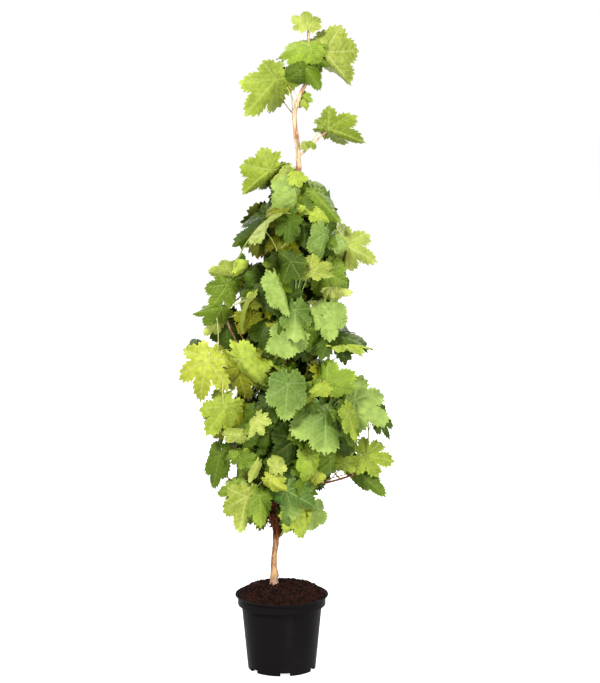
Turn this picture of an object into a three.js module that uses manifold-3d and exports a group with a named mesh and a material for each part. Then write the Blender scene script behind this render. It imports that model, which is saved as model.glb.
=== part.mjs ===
// Potted grapevine: one cane trained upright in a round nursery pot, in full leaf.
// Millimetres, +Z up, front towards -Y. The origin is the centre of the pot's flat underside.
import * as THREE from "three";
import { mergeVertices } from "three/addons/utils/BufferGeometryUtils.js";
import Module from "manifold-3d";

const wasm = await Module();
wasm.setup();

const gap = 0.3; // clearance between pieces that touch
const cutGap = 0.5; // clearance taken off a leaf mass round its neighbour
const sliver = 0.15; // edges shorter than this are tidied away after a cut

const pot = {
  height: 155,
  lipRadius: 95,
  lipHeight: 4.5,
  collarRadius: 89.6,
  collarHeight: 17,
  shoulderHeight: 4,
  bodyRadius: 81.8,
  footRadius: 69.2,
  wall: 2,
  floor: 2.5,
  sides: 36,
};
const notch = { count: 6, width: 20, height: 6.5, bearing: 6.4 };
const soil = { edgeHeight: 151.5, crown: 17.5, bump: 1.3, rings: 4 };
const foot = { x: -16, y: 14, seatHeight: 167.5, seatRadius: 12 }; // where the trunk leaves the soil

// Limbs. Each station is x, y, height and radius, from the lower end to the tip.
const limbs = {
  trunk: [
    [foot.x, foot.y, foot.seatHeight + gap, 8.5],
    [-16, 14, 178, 6.6],
    [-15, 13, 189, 7.6],
    [-16, 12, 203, 5.4],
    [-15, 11, 235, 5],
    [-11, 10, 266, 5.6],
    [-10, 10, 290, 8],
    [-12, 9, 325, 7.4],
    [-13, 8, 372, 6.2],
  ],
  side_arm: [
    [-1.4, 8, 294, 4.2],
    [4, 6, 303, 3.6],
    [7, 4, 322, 3.2],
    [9, -2, 352, 2.8],
  ],
  main_shoot: [
    [-13, 8, 372 + gap, 6],
    [-7, 5, 460, 5.6],
    [3, 2, 590, 5],
    [13, 0, 720, 4.5],
    [22, 2, 850, 4],
    [30, 0, 970, 3.6],
    [34, -2, 1035, 3.4],
    [24, 0, 1095, 3.2],
    [23, 1, 1130, 3],
    [39, 0, 1170, 2.8],
    [60, 2, 1207, 2.4],
    [66, 2, 1228, 2.2],
    [53, 0, 1262, 2],
    [54, -3, 1296, 1.8],
  ],
  high_right_limb: [
    [33, -2, 1041, 2.2],
    [58, -9, 1064, 1.7],
    [78, -18, 1084, 1.6],
    [95, -26, 1098, 1.5],
  ],
  left_limb: [
    [8.5, 2, 600, 2.6],
    [-30, 6, 618, 2.4],
    [-72, 4, 646, 2.2],
    [-100, 0, 690, 2],
    [-114, -16, 738, 1.8],
  ],
  low_right_limb: [
    [-12, 7, 396, 2.6],
    [28, -2, 384, 2.3],
    [72, -12, 384, 2.1],
    [110, -18, 393, 1.9],
    [152, -26, 409, 1.7],
  ],
};

// Leaf masses: name, centre, size (across, along the blade, through it), then the degrees
// by which its face turns to the right of the front, looks up, and swings in its own plane.
const masses = [
  ["leaves_12_tip", [56, -4, 1307], [64, 44, 30], 0, 20, 0],
  ["leaves_12_right", [107, -8, 1242], [88, 112, 26], 12, 8, -12],
  ["leaves_12_left", [36, 8, 1250], [94, 52, 34], -10, 25, 0],
  ["leaves_11_neck", [38, 4, 1203], [86, 62, 38], 6, 15, 0],
  ["leaves_11_left", [-27, -8, 1178], [98, 120, 26], -14, 8, -28],
  ["leaves_11_right", [117, -30, 1101], [104, 82, 26], 14, 22, 24],
  ["leaves_10_left", [-34, -26, 1010], [86, 100, 28], -12, 14, -12],
  ["leaves_10_collar", [16, -14, 990], [92, 68, 56], 0, 20, 0],
  ["leaves_09_centre", [26, -44, 955], [66, 74, 52], 0, 12, 10],
  ["leaves_09_right", [86, -32, 942], [68, 114, 44], 16, 12, 14],
  ["leaves_09_left", [-42, -14, 916], [92, 108, 40], -16, 10, -34],
  ["leaves_08_centre", [0, -44, 890], [80, 90, 64], -4, 16, 0],
  ["leaves_08_right", [80, -42, 880], [64, 86, 50], 14, 14, 0],
  ["leaves_08_right_tip", [146, -22, 869], [98, 66, 26], 22, 20, 22],
  ["leaves_07_centre", [38, -56, 836], [126, 66, 62], 4, 24, 0],
  ["leaves_07_left_tip", [-97, -10, 821], [92, 68, 28], -20, 20, 18],
  ["leaves_07_left", [-60, 0, 785], [94, 84, 58], -14, 10, 0],
  ["leaves_06_left_tip", [-134, -20, 755], [70, 94, 26], -20, 16, -26],
  ["leaves_06_centre", [-8, -60, 772], [70, 82, 62], -4, 14, 0],
  ["leaves_06_right", [90, -2, 793], [98, 82, 60], 16, 14, 0],
  ["leaves_05_centre", [22, -60, 695], [104, 106, 64], 2, 16, 0],
  ["leaves_05_left", [-48, -14, 700], [100, 110, 60], -12, 8, 0],
  ["leaves_05_left_tip", [-138, 0, 682], [94, 68, 26], -24, 14, 10],
  ["leaves_05_right", [94, -46, 719], [78, 84, 44], 12, 16, -30],
  ["leaves_05_right_tip", [147, -40, 673], [102, 50, 26], 16, 34, 6],
  ["leaves_04_left_tip", [-149, -30, 616], [104, 112, 26], -16, 10, -8],
  ["leaves_04_left", [-56, -50, 622], [98, 118, 56], -12, 14, -10],
  ["leaves_04_right", [91, -58, 619], [96, 68, 56], 12, 24, 0],
  ["leaves_04_centre", [18, -72, 587], [86, 112, 62], 0, 12, 0],
  ["leaves_04_right_tip", [177, -40, 553], [98, 104, 28], 18, 16, 24],
  ["leaves_03_left_tip", [-116, -36, 533], [108, 90, 42], -16, 20, 0],
  ["leaves_03_left", [-46, -44, 508], [100, 86, 60], -6, 14, 0],
  ["leaves_03_right", [88, -68, 516], [144, 118, 58], 8, 12, 0],
  ["leaves_02_left", [-76, -36, 442], [88, 88, 56], -10, 14, 0],
  ["leaves_02_left_tip", [-134, -20, 414], [40, 82, 24], -24, 8, -14],
  ["leaves_02_centre", [-8, -44, 428], [76, 108, 62], 0, 12, 0],
  ["leaves_02_right", [80, -42, 424], [120, 76, 56], 10, 18, 0],
  ["leaves_02_right_tip", [170, -28, 434], [104, 84, 28], 16, 18, 20],
  ["leaves_01_left_tip", [-110, -26, 379], [52, 56, 28], -14, 16, 0],
  ["leaves_01_left", [-64, -40, 352], [88, 104, 44], -12, 14, -12],
  ["leaves_01_centre", [32, -44, 392], [98, 70, 60], 0, 20, 0],
  ["leaves_01_low", [32, -34, 330], [76, 88, 44], 6, 14, 0],
  ["leaves_09_back", [-14, 40, 925], [92, 112, 100], 0, 0, 0],
  ["leaves_08_back", [66, 38, 862], [100, 92, 110], 20, 0, 0],
  ["leaves_07_back", [-2, 48, 800], [104, 90, 130], -10, 0, 0],
  ["leaves_05_back_right", [66, 42, 676], [100, 80, 120], 24, 0, 0],
  ["leaves_05_back_left", [-36, 60, 694], [108, 130, 110], -20, 0, 0],
  ["leaves_04_back", [18, 48, 590], [132, 106, 136], 0, 0, 0],
  ["leaves_03_back_left", [-50, 46, 500], [122, 116, 120], -16, 0, 0],
  ["leaves_03_back_right", [74, 54, 488], [116, 108, 124], 18, 0, 0],
  ["leaves_02_back", [26, 44, 400], [130, 98, 128], 0, 0, 0],
  ["leaves_01_back", [-44, 40, 366], [88, 96, 100], -20, 0, 0],
];
const mass = { around: 10, rings: 5, lobe: 0.08, unevenness: 0.08, ripple: 0.16, goldenAngle: 2.4 };

const finish = {
  plastic: { color: 0x1c1c1e, roughness: 0.42, metalness: 0 },
  peat: { color: 0x24120a, roughness: 1, metalness: 0 },
  bark: { color: 0x5d3b28, roughness: 0.9, metalness: 0 },
  cane: { color: 0x8a5a34, roughness: 0.7, metalness: 0 },
  leaf: { color: 0x5f9a35, roughness: 0.6, metalness: 0 },
};

// Keeps only the positions and joins equal corners, so that the mesh is one closed surface.
function closed(geometry) {
  const bare = geometry.index ? geometry.toNonIndexed() : geometry.clone();
  bare.deleteAttribute("normal");
  bare.deleteAttribute("uv");
  return mergeVertices(bare, 1e-4);
}

function toSolid(geometry) {
  const bare = closed(geometry);
  const vertProperties = new Float32Array(bare.attributes.position.array);
  const triVerts = new Uint32Array(bare.index.array);
  return new wasm.Manifold(new wasm.Mesh({ numProp: 3, vertProperties, triVerts }));
}

function toGeometry(solid) {
  const mesh = solid.getMesh();
  const geometry = new THREE.BufferGeometry();
  geometry.setAttribute("position", new THREE.BufferAttribute(mesh.vertProperties, 3));
  geometry.setIndex(new THREE.BufferAttribute(mesh.triVerts, 1));
  return geometry;
}

// The same surface moved outwards by a distance along its corner normals.
function grown(geometry, distance) {
  const bare = closed(geometry);
  bare.computeVertexNormals();
  const position = bare.attributes.position;
  const normal = bare.attributes.normal;
  for (let i = 0; i < position.count; i += 1) {
    position.setXYZ(
      i,
      position.getX(i) + normal.getX(i) * distance,
      position.getY(i) + normal.getY(i) * distance,
      position.getZ(i) + normal.getZ(i) * distance,
    );
  }
  return bare;
}

function lathe(outline, sides) {
  const points = outline.map(([radius, height]) => new THREE.Vector2(radius, height));
  return new THREE.LatheGeometry(points, sides).rotateX(Math.PI / 2);
}

function largestPiece(solid) {
  const pieces = solid.decompose();
  return pieces.reduce((best, piece) => (piece.volume() > best.volume() ? piece : best));
}

function makePot() {
  const collarFoot = pot.height - pot.lipHeight - pot.collarHeight;
  const bodyTop = collarFoot - pot.shoulderHeight;
  const shell = toSolid(
    lathe(
      [
        [0, 0],
        [pot.footRadius, 0],
        [pot.bodyRadius, bodyTop],
        [pot.collarRadius, collarFoot],
        [pot.collarRadius, pot.height - pot.lipHeight],
        [pot.lipRadius, pot.height - pot.lipHeight],
        [pot.lipRadius, pot.height - pot.lipHeight / 3],
        [pot.lipRadius - pot.lipHeight / 3, pot.height],
        [pot.collarRadius - pot.wall, pot.height],
        [pot.collarRadius - pot.wall, collarFoot],
        [pot.bodyRadius - pot.wall, bodyTop],
        [pot.footRadius - pot.wall, pot.floor],
        [0, pot.floor],
      ],
      pot.sides,
    ),
  );
  let cut = shell;
  for (let i = 0; i < notch.count; i += 1) {
    const bearing = THREE.MathUtils.degToRad(notch.bearing + (i * 360) / notch.count);
    const block = new THREE.BoxGeometry(notch.width, pot.wall * 6, notch.height * 2);
    block.translate(0, -pot.footRadius - 1.5, 0).rotateZ(bearing);
    cut = cut.subtract(toSolid(block));
  }
  return toGeometry(cut);
}

// Gentle lumps of the soil's surface, as a sum of three waves.
function soilLumps(x, y) {
  return (
    Math.sin(x / 7.3 + 0.8) * Math.cos(y / 8.9) +
    0.7 * Math.sin((x + y) / 12.1 + 2) +
    0.6 * Math.cos((x - y) / 5.7)
  );
}

function makeSoil() {
  const collarFoot = pot.height - pot.lipHeight - pot.collarHeight;
  const bodyTop = collarFoot - pot.shoulderHeight;
  const inset = pot.wall + gap;
  const edge = pot.collarRadius - inset;
  const outline = [
    [0, pot.floor + gap],
    [pot.footRadius - inset, pot.floor + gap],
    [pot.bodyRadius - inset, bodyTop],
    [edge, collarFoot + 1],
  ];
  for (let i = soil.rings; i >= 0; i -= 1) {
    const part = i / soil.rings;
    outline.push([edge * part, soil.edgeHeight + soil.crown * (1 - part * part)]);
  }
  const plug = closed(lathe(outline, pot.sides));
  const position = plug.attributes.position;
  for (let i = 0; i < position.count; i += 1) {
    const x = position.getX(i);
    const y = position.getY(i);
    const z = position.getZ(i);
    const inward = 1 - Math.hypot(x, y) / edge;
    if (z > soil.edgeHeight && inward > 0.05) {
      position.setZ(i, z + soil.bump * soilLumps(x, y) * Math.min(1, inward * 3));
    }
  }
  const seat = new THREE.CylinderGeometry(foot.seatRadius, foot.seatRadius, 40, 12);
  seat.rotateX(Math.PI / 2).translate(foot.x, foot.y, foot.seatHeight + 20);
  return toGeometry(largestPiece(toSolid(plug).subtract(toSolid(seat))));
}

// A cylinder bent along a smooth curve through the stations, its radius read between them.
function makeLimb(stations, sides, stepsPerSpan) {
  const curve = new THREE.CatmullRomCurve3(stations.map(([x, y, z]) => new THREE.Vector3(x, y, z)));
  const steps = (stations.length - 1) * stepsPerSpan;
  const frames = curve.computeFrenetFrames(steps, false);
  const tube = closed(new THREE.CylinderGeometry(1, 1, 1, sides, steps));
  const position = tube.attributes.position;
  for (let i = 0; i < position.count; i += 1) {
    const part = 0.5 - position.getY(i);
    const ring = Math.round(part * steps);
    const along = curve.getUtoTmapping(part) * (stations.length - 1);
    const span = Math.min(Math.floor(along), stations.length - 2);
    const radius = THREE.MathUtils.lerp(stations[span][3], stations[span + 1][3], along - span);
    const point = curve.getPointAt(part);
    point.addScaledVector(frames.normals[ring], position.getX(i) * radius);
    point.addScaledVector(frames.binormals[ring], position.getZ(i) * radius);
    if (ring === 0) {
      point.z = stations[0][2];
    }
    position.setXYZ(i, point.x, point.y, point.z);
  }
  return tube;
}

// An uneven ball with five blunt lobes round its edge, flattened to the mass's own size,
// its rim drooping a little. Each mass takes its own phase of the waves.
function makeMass([, centre, size, turn, lift, swing], index) {
  const ball = closed(new THREE.SphereGeometry(1, mass.around, mass.rings).rotateY(Math.PI / mass.around));
  const phase = index * mass.goldenAngle;
  const position = ball.attributes.position;
  for (let i = 0; i < position.count; i += 1) {
    const x = position.getX(i);
    const y = position.getY(i);
    const z = position.getZ(i);
    const bearing = Math.atan2(z, x);
    const rim = x * x + z * z;
    const lobes = mass.lobe * Math.cos(5 * (bearing + Math.PI / 2));
    const waves = Math.sin(2 * bearing + phase) + Math.sin(3 * bearing - 2 * phase);
    const reach = 1 + rim * (lobes + mass.unevenness * waves);
    const swell = 1 + mass.ripple * Math.sin(bearing + 3 * phase);
    position.setXYZ(i, x * reach, y * swell + 0.35 * rim, z * reach);
  }
  ball.computeBoundingBox();
  const middle = ball.boundingBox.getCenter(new THREE.Vector3());
  const extent = ball.boundingBox.getSize(new THREE.Vector3());
  ball.translate(-middle.x, -middle.y, -middle.z);
  ball.scale(size[0] / extent.x, size[2] / extent.y, size[1] / extent.z);
  ball.rotateY(THREE.MathUtils.degToRad(swing));
  ball.rotateX(THREE.MathUtils.degToRad(-lift));
  ball.rotateZ(THREE.MathUtils.degToRad(turn));
  ball.translate(...centre);
  return ball;
}

const vine = new THREE.Group();
vine.name = "potted_grapevine";

function addPiece(name, geometry, look) {
  const piece = new THREE.Mesh(geometry, new THREE.MeshStandardMaterial(look));
  piece.name = name;
  vine.add(piece);
}

addPiece("pot", makePot(), finish.plastic);
addPiece("soil", makeSoil(), finish.peat);

// Adds a piece trimmed to clear every piece before it, so it starts or ends at their surfaces.
const kept = [];
function addTrimmed(name, whole, look) {
  whole.computeBoundingBox();
  let rest = toSolid(whole);
  for (const { box, solid } of kept) {
    if (box.intersectsBox(whole.boundingBox)) {
      rest = rest.subtract(solid);
    }
  }
  addPiece(name, toGeometry(largestPiece(rest).simplify(sliver)), look);
  const around = grown(whole, cutGap);
  around.computeBoundingBox();
  kept.push({ box: around.boundingBox, solid: toSolid(around) });
}

for (const [name, stations] of Object.entries(limbs)) {
  const look = name === "trunk" || name === "side_arm" ? finish.bark : finish.cane;
  addTrimmed(name, makeLimb(stations, name === "trunk" ? 8 : 6, 2), look);
}
masses.forEach((row, index) => {
  addTrimmed(row[0], makeMass(row, index), finish.leaf);
});

export default vine;
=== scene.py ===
import math
import bpy
import numpy as np
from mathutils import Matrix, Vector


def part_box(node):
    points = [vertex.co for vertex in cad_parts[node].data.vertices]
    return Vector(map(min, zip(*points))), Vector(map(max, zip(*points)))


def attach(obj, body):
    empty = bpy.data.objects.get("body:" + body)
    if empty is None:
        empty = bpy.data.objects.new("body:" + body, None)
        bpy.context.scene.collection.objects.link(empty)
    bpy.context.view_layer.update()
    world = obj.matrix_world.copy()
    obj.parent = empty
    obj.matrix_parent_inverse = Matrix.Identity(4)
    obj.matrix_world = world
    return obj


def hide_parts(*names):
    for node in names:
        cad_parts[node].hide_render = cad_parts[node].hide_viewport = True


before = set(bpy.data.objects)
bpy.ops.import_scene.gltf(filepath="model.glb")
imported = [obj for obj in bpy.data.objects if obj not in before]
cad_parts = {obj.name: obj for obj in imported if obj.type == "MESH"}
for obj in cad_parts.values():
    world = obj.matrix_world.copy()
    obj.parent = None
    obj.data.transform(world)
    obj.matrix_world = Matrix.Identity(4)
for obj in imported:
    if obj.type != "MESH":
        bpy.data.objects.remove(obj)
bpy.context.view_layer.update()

mm = 0.001


def paint(code, share=1.0):
    # hex colour as a screen shows it, to the linear colour that a shader takes. A share below one
    # is for colours that were judged in full light.
    parts = np.array([int(code[i:i + 2], 16) / 255 for i in (0, 2, 4)])
    linear = np.where(parts <= 0.04045, parts / 12.92, ((parts + 0.055) / 1.055) ** 2.4)
    return (*(linear * share).tolist(), 1.0)


class Wire:
    # one output socket of a material, so that sums on it are written as Python
    def __init__(self, tree, socket):
        self.tree = tree
        self.socket = socket

    def add(self, kind, settings, inputs, output=0):
        # a new node: its settings first, then the values or links of its sockets
        node = self.tree.nodes.new(kind)
        for name, value in settings.items():
            setattr(node, name, value)
        for name, value in inputs.items():
            if isinstance(value, Wire):
                self.tree.links.new(value.socket, node.inputs[name])
            else:
                node.inputs[name].default_value = value
        return Wire(self.tree, node.outputs[output])

    def sums(self, operation, first, second):
        # a Math node
        return self.add("ShaderNodeMath", {"operation": operation}, {0: first, 1: second})

    def __add__(self, other):
        return self.sums("ADD", self, other)

    def __sub__(self, other):
        return self.sums("SUBTRACT", self, other)

    def __rsub__(self, other):
        return self.sums("SUBTRACT", other, self)

    def __mul__(self, other):
        return self.sums("MULTIPLY", self, other)

    __radd__ = __add__
    __rmul__ = __mul__

    def size(self):
        # without its sign
        return self.sums("ABSOLUTE", self, 0.0)

    def step(self, low, high):
        # 0 below low, 1 above high, a smooth rise between them
        ends = {"Value": self, "From Min": low, "From Max": high}
        return self.add("ShaderNodeMapRange", {"interpolation_type": "SMOOTHSTEP"}, ends)

    def mix(self, first, second):
        # the first colour where this is 0, the second where it is 1
        return self.add("ShaderNodeMix", {"data_type": "RGBA"}, {0: self, 6: first, 7: second}, 2)

    def grain(self, scale, detail=2.0, stretch=(1, 1, 1)):
        # soft noise from 0 to 1, read along this vector
        turned = self.add("ShaderNodeMapping", {}, {"Vector": self, "Scale": stretch})
        return self.add("ShaderNodeTexNoise", {}, {"Vector": turned, "Scale": scale, "Detail": detail})


def newMaterial(name, fixed):
    # a material with the values that are the same all over, its shader, and the place on the piece
    material = bpy.data.materials.new(name)
    material.use_nodes = True
    tree = material.node_tree
    shader = tree.nodes["Principled BSDF"]
    for socket, value in fixed.items():
        shader.inputs[socket].default_value = value
    place = Wire(tree, tree.nodes.new("ShaderNodeTexCoord").outputs["Object"])
    return material, shader, place


def feed(shader, socket, wire):
    # what changes over the surface
    wire.tree.links.new(wire.socket, shader.inputs[socket])


def feedBump(shader, height, strength, distance):
    # fine relief on the surface's own normal
    inputs = {"Strength": strength, "Distance": distance, "Height": height}
    feed(shader, "Normal", height.add("ShaderNodeBump", {}, inputs))


def makePiece(name, points, faces, materials, slots=None, layers=None, sharpRim=None):
    # points (n, 3) in metres, faces as arrays of corner numbers with 3 or 4 columns
    mesh = bpy.data.meshes.new(name)
    mesh.vertices.add(len(points))
    mesh.vertices.foreach_set("co", np.asarray(points, np.float32).ravel())
    corners = np.concatenate([f.ravel() for f in faces]).astype(np.int32)
    sides = np.concatenate([np.full(len(f), f.shape[1]) for f in faces])
    starts = np.concatenate([[0], np.cumsum(sides)[:-1]]).astype(np.int32)
    mesh.loops.add(len(corners))
    mesh.loops.foreach_set("vertex_index", corners)
    mesh.polygons.add(len(sides))
    mesh.polygons.foreach_set("loop_start", starts)
    if slots is not None:
        mesh.polygons.foreach_set("material_index", np.concatenate(slots).astype(np.int32))
    mesh.update(calc_edges=True)
    mesh.polygons.foreach_set("use_smooth", np.ones(len(sides), bool))
    for layer, values in (layers or {}).items():
        if values.ndim == 2:
            grid = mesh.uv_layers.new(name=layer)
            grid.data.foreach_set("uv", values[corners].astype(np.float32).ravel())
        else:
            field = mesh.attributes.new(layer, "FLOAT", "POINT")
            field.data.foreach_set("value", values.astype(np.float32))
    if sharpRim is not None:
        ends = np.zeros(len(mesh.edges) * 2, np.int32)
        mesh.edges.foreach_get("vertices", ends)
        sharp = sharpRim[ends.reshape(-1, 2)].all(1)
        crease = mesh.attributes.new("sharp_edge", "BOOLEAN", "EDGE")
        crease.data.foreach_set("value", sharp)
    for material in materials:
        mesh.materials.append(material)
    mesh.validate()
    piece = bpy.data.objects.new(name, mesh)
    bpy.context.scene.collection.objects.link(piece)
    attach(piece, "root")
    return piece


def unit(v):
    # vectors of length one
    return v / np.maximum(np.linalg.norm(v, axis=-1, keepdims=True), 1e-12)


def bezier(a, b, c, d, count):
    # the cubic (1-t)^3 a + 3t(1-t)^2 b + 3t^2(1-t) c + t^3 d
    t = np.linspace(0, 1, count)[:, None]
    return (1 - t) ** 3 * a + 3 * t * (1 - t) ** 2 * b + 3 * t * t * (1 - t) * c + t ** 3 * d


def ringFaces(rings, sides):
    # corner numbers of a surface of rings one above the other, closed by a fan round a middle point
    # at each end. The two middle points come after the rings.
    here = np.arange(sides)
    after = (here + 1) % sides
    rows = (np.arange(rings - 1) * sides)[:, None]
    quads = np.stack([rows + here, rows + after, rows + sides + after, rows + sides + here], -1)
    last = (rings - 1) * sides
    foot = np.stack([np.full(sides, last + sides), after, here], -1)
    top = np.stack([np.full(sides, last + sides + 1), last + here, last + after], -1)
    return quads.reshape(-1, 4), np.concatenate([foot, top])


def tube(path, radius, sides):
    # rings of a circle across the path: path(u) + r(u, v) (cos v A(u) + sin v B(u)), with closed
    # ends. radius is one number per ring, or a grid of rings by sides for a surface with relief.
    ahead = unit(np.gradient(path, axis=0))
    chord = path[-1] - path[0]
    bow = np.cross(chord, path[len(path) // 2] - path[0])
    if np.linalg.norm(bow) < 0.02 * chord @ chord:
        bow = np.eye(3)[np.argmin(np.abs(ahead).sum(0))]
    first = unit(np.cross(ahead, bow))
    second = np.cross(ahead, first)
    turn = np.linspace(0, 2 * np.pi, sides, endpoint=False)
    radius = np.broadcast_to(np.asarray(radius, float).reshape(len(path), -1), (len(path), sides))
    ring = np.cos(turn)[None, :, None] * first[:, None] + np.sin(turn)[None, :, None] * second[:, None]
    points = (path[:, None] + radius[..., None] * ring).reshape(-1, 3)
    points = np.concatenate([points, path[:1], path[-1:]])
    return points, *ringFaces(len(path), sides)


class Heap:
    # many small meshes of one kind, to be joined into one piece
    def __init__(self):
        self.points, self.quads, self.tris = [], [], []
        self.quadSlots, self.triSlots, self.rims = [], [], []
        self.layers = {}
        self.nodes = set()
        self.count = 0
        self.faces = 0

    def put(self, points, quads, tris, node, quadSlots=None, triSlots=None, rim=None, **layers):
        # rim marks the points of a sharp edge, and layers hold one value or pair for each point
        self.quads.append(quads + self.count)
        self.tris.append(tris + self.count)
        self.points.append(points)
        self.quadSlots.append(np.zeros(len(quads)) if quadSlots is None else quadSlots)
        self.triSlots.append(np.zeros(len(tris)) if triSlots is None else triSlots)
        self.rims.append(np.zeros(len(points), bool) if rim is None else rim)
        for name, values in layers.items():
            self.layers.setdefault(name, []).append(values)
        self.nodes.add(node)
        self.count += len(points)
        self.faces += 2 * len(quads) + len(tris)

    def build(self, name, materials, slot):
        # joins them into one piece, and hides the nodes that it stands for
        faces = [np.concatenate(self.quads), np.concatenate(self.tris)]
        slots = [np.concatenate(self.quadSlots), np.concatenate(self.triSlots)]
        layers = {key: np.concatenate(values) for key, values in self.layers.items()}
        rims = np.concatenate(self.rims)
        piece = makePiece(name, np.concatenate(self.points), faces, materials, slots, layers, rims)
        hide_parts(*sorted(self.nodes))
        print(name, self.faces, "triangles")


def waves(shape, rng, cells):
    # smooth random surface on a grid, round in its second direction: a sum of a few sines
    u = np.linspace(0, 1, shape[0])[:, None]
    v = np.linspace(0, 1, shape[1], endpoint=False)[None]
    total = np.zeros(shape)
    for along, around in cells:
        phase = rng.uniform(0, 2 * np.pi, 2)
        total += np.sin(2 * np.pi * along * u + phase[0]) * np.cos(2 * np.pi * around * v + phase[1])
    return total / len(cells)


potLook = {
    "sides": 144,
    "collarIn": 5.4, "bodyIn": 13.2, "footIn": 25.8,   # how far each lies inside the lip, mm
    "lipDepth": 4.5, "collarDepth": 17, "shoulder": 4, "wall": 2,
    "lipRound": 1.7,
    "notches": 6, "notchWidth": 20, "notchHeight": 6.5, "notchDepth": 30,
    "notchIn": 26,           # from the lip's outside to the middle of the cutter, mm
    "notchBearing": 6.4,     # of the first one, degrees from the front
}
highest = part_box("pot")[1]
potHeight = highest.z
lipRadius = highest.x


def potProfile():
    # outline of the wall as radius and height, from the middle of the underside up to the lip and
    # back down inside. The lip is rolled over three quarters of a circle.
    top, lip = potHeight, lipRadius
    collar, body, foot = (lip - potLook[key] * mm for key in ("collarIn", "bodyIn", "footIn"))
    lipDepth, collarDepth, shoulder, wall, roll = (
        potLook[key] * mm for key in ("lipDepth", "collarDepth", "shoulder", "wall", "lipRound"))
    bend = np.linspace(-0.5, 1, 13) * np.pi
    lipOut = np.stack([lip - roll + roll * np.cos(bend), top - roll + roll * np.sin(bend)], 1)
    low = top - lipDepth - collarDepth
    under = [(0, 3 * mm), (foot - 9 * mm, 3 * mm), (foot - 8 * mm, 2.6 * mm),
             (foot - 7 * mm, 0.2 * mm), (foot - 6.4 * mm, 0), (foot - 1 * mm, 0),
             (foot - 0.3 * mm, 0.3 * mm), (foot, 1 * mm)]
    rise = np.linspace(0.02, 1, 12)[:, None]
    wallOut = np.array([foot, 0]) + rise * np.array([body - foot, low - shoulder])
    step = [(body + 0.5 * mm, low - shoulder + 0.4 * mm), (collar - 1.2 * mm, low - 0.8 * mm),
            (collar - 0.3 * mm, low - 0.2 * mm), (collar, low + 0.7 * mm),
            (collar, low + 8 * mm), (collar, top - lipDepth - 0.8 * mm),
            (collar + 0.4 * mm, top - lipDepth - 0.2 * mm), (collar + 1.4 * mm, top - lipDepth)]
    inside = [(collar - wall + 0.6 * mm, top - 2 * roll), (collar - wall, top - 5 * mm),
              (collar - wall, low), (body - wall, low - shoulder), (foot - wall, 5 * mm), (0, 5 * mm)]
    return np.concatenate([under, wallOut, step, lipOut, inside])


def revolve(profile, sides):
    # each profile point carried round the axis: (r cos v, r sin v, z)
    turn = np.linspace(0, 2 * np.pi, sides, endpoint=False)
    ring = profile[1:-1]
    points = np.stack([ring[:, :1] * np.cos(turn), ring[:, :1] * np.sin(turn),
                       np.repeat(ring[:, 1:], sides, 1)], -1).reshape(-1, 3)
    ends = np.array([[0, 0, profile[0, 1]], [0, 0, profile[-1, 1]]])
    return np.concatenate([points, ends]), ringFaces(len(ring), sides)


potPlastic, shader, place = newMaterial("pot plastic", {"Specular IOR Level": 0.22, "IOR": 1.12})
fine = place.grain(900, 2)
scuff = place.grain(34, 4, (1, 1, 0.25)).step(0.55, 0.75)
dust = place.grain(11, 5).step(0.5, 0.8)
feed(shader, "Base Color", (dust * 0.5 + scuff * 0.3).mix(paint("0e0c0d"), paint("1b1819")))
feed(shader, "Roughness", 0.4 + 0.12 * dust + 0.1 * scuff)
feedBump(shader, fine * 0.5 + place.grain(60, 3) * 0.6, 0.12, 0.0006)

points, faces = revolve(potProfile(), potLook["sides"])
potPiece = makePiece("pot_body", points, faces, [potPlastic])
cutters = []
for turn in range(potLook["notches"]):
    bearing = math.radians(potLook["notchBearing"] + 360 / potLook["notches"] * turn)
    bpy.ops.mesh.primitive_cube_add(size=1)
    cutter = bpy.context.object
    notch = potLook["notchWidth"], potLook["notchDepth"], 2 * potLook["notchHeight"]
    cutter.scale = [side * mm for side in notch]
    cutter.rotation_euler = (0, 0, bearing)
    reach = lipRadius - potLook["notchIn"] * mm
    cutter.location = (reach * math.sin(bearing), -reach * math.cos(bearing), 0)
    cut = potPiece.modifiers.new("notch", "BOOLEAN")
    cut.object = cutter
    cut.solver = "EXACT"
    cutters.append(cutter)
bpy.context.view_layer.update()
graph = bpy.context.evaluated_depsgraph_get()
notched = bpy.data.meshes.new_from_object(potPiece.evaluated_get(graph))
potPiece.modifiers.clear()
potPiece.data = notched
for cutter in cutters:
    bpy.data.objects.remove(cutter)
notched.shade_smooth()
notched.set_sharp_from_angle(angle=math.radians(32))
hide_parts("pot")
print("pot made")


soilLook = {
    "rings": 70, "sides": 200,
    "gap": 8,         # from the lip's outside to the peat's edge, mm
    "edge": 152,      # height of that edge, mm
    "crown": 18,      # rise of the mound over it
    "steep": 6.5,     # how late the mound falls
    "skirt": 18,      # depth of the peat's side
    "lumps": ((31, 1.3), (17, 1.3), (9.5, 1.1), (5.3, 0.9), (3.1, 0.6), (1.9, 0.4)),   # size, height
    "crumbs": 1500,
    "crumbSize": (0.9, 2.6),
    "seed": 4,
}


def soilTop(x, y, rng):
    # mound falling from the middle to the rim, with lumps as sums of sines of falling size
    radius = lipRadius - soilLook["gap"] * mm
    part = np.clip(np.hypot(x, y) / radius, 0, 1)
    height = (soilLook["edge"] + soilLook["crown"] * (1 - part ** soilLook["steep"])) * mm
    for size, rise in soilLook["lumps"]:
        for _ in range(3):
            slope = rng.uniform(0, 2 * np.pi)
            along = (x * math.cos(slope) + y * math.sin(slope)) / (size * mm) * 2 * math.pi
            height = height + rise * mm * np.sin(along + rng.uniform(0, 6)) * (1 - part ** 8) / 1.7
    return height


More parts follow.
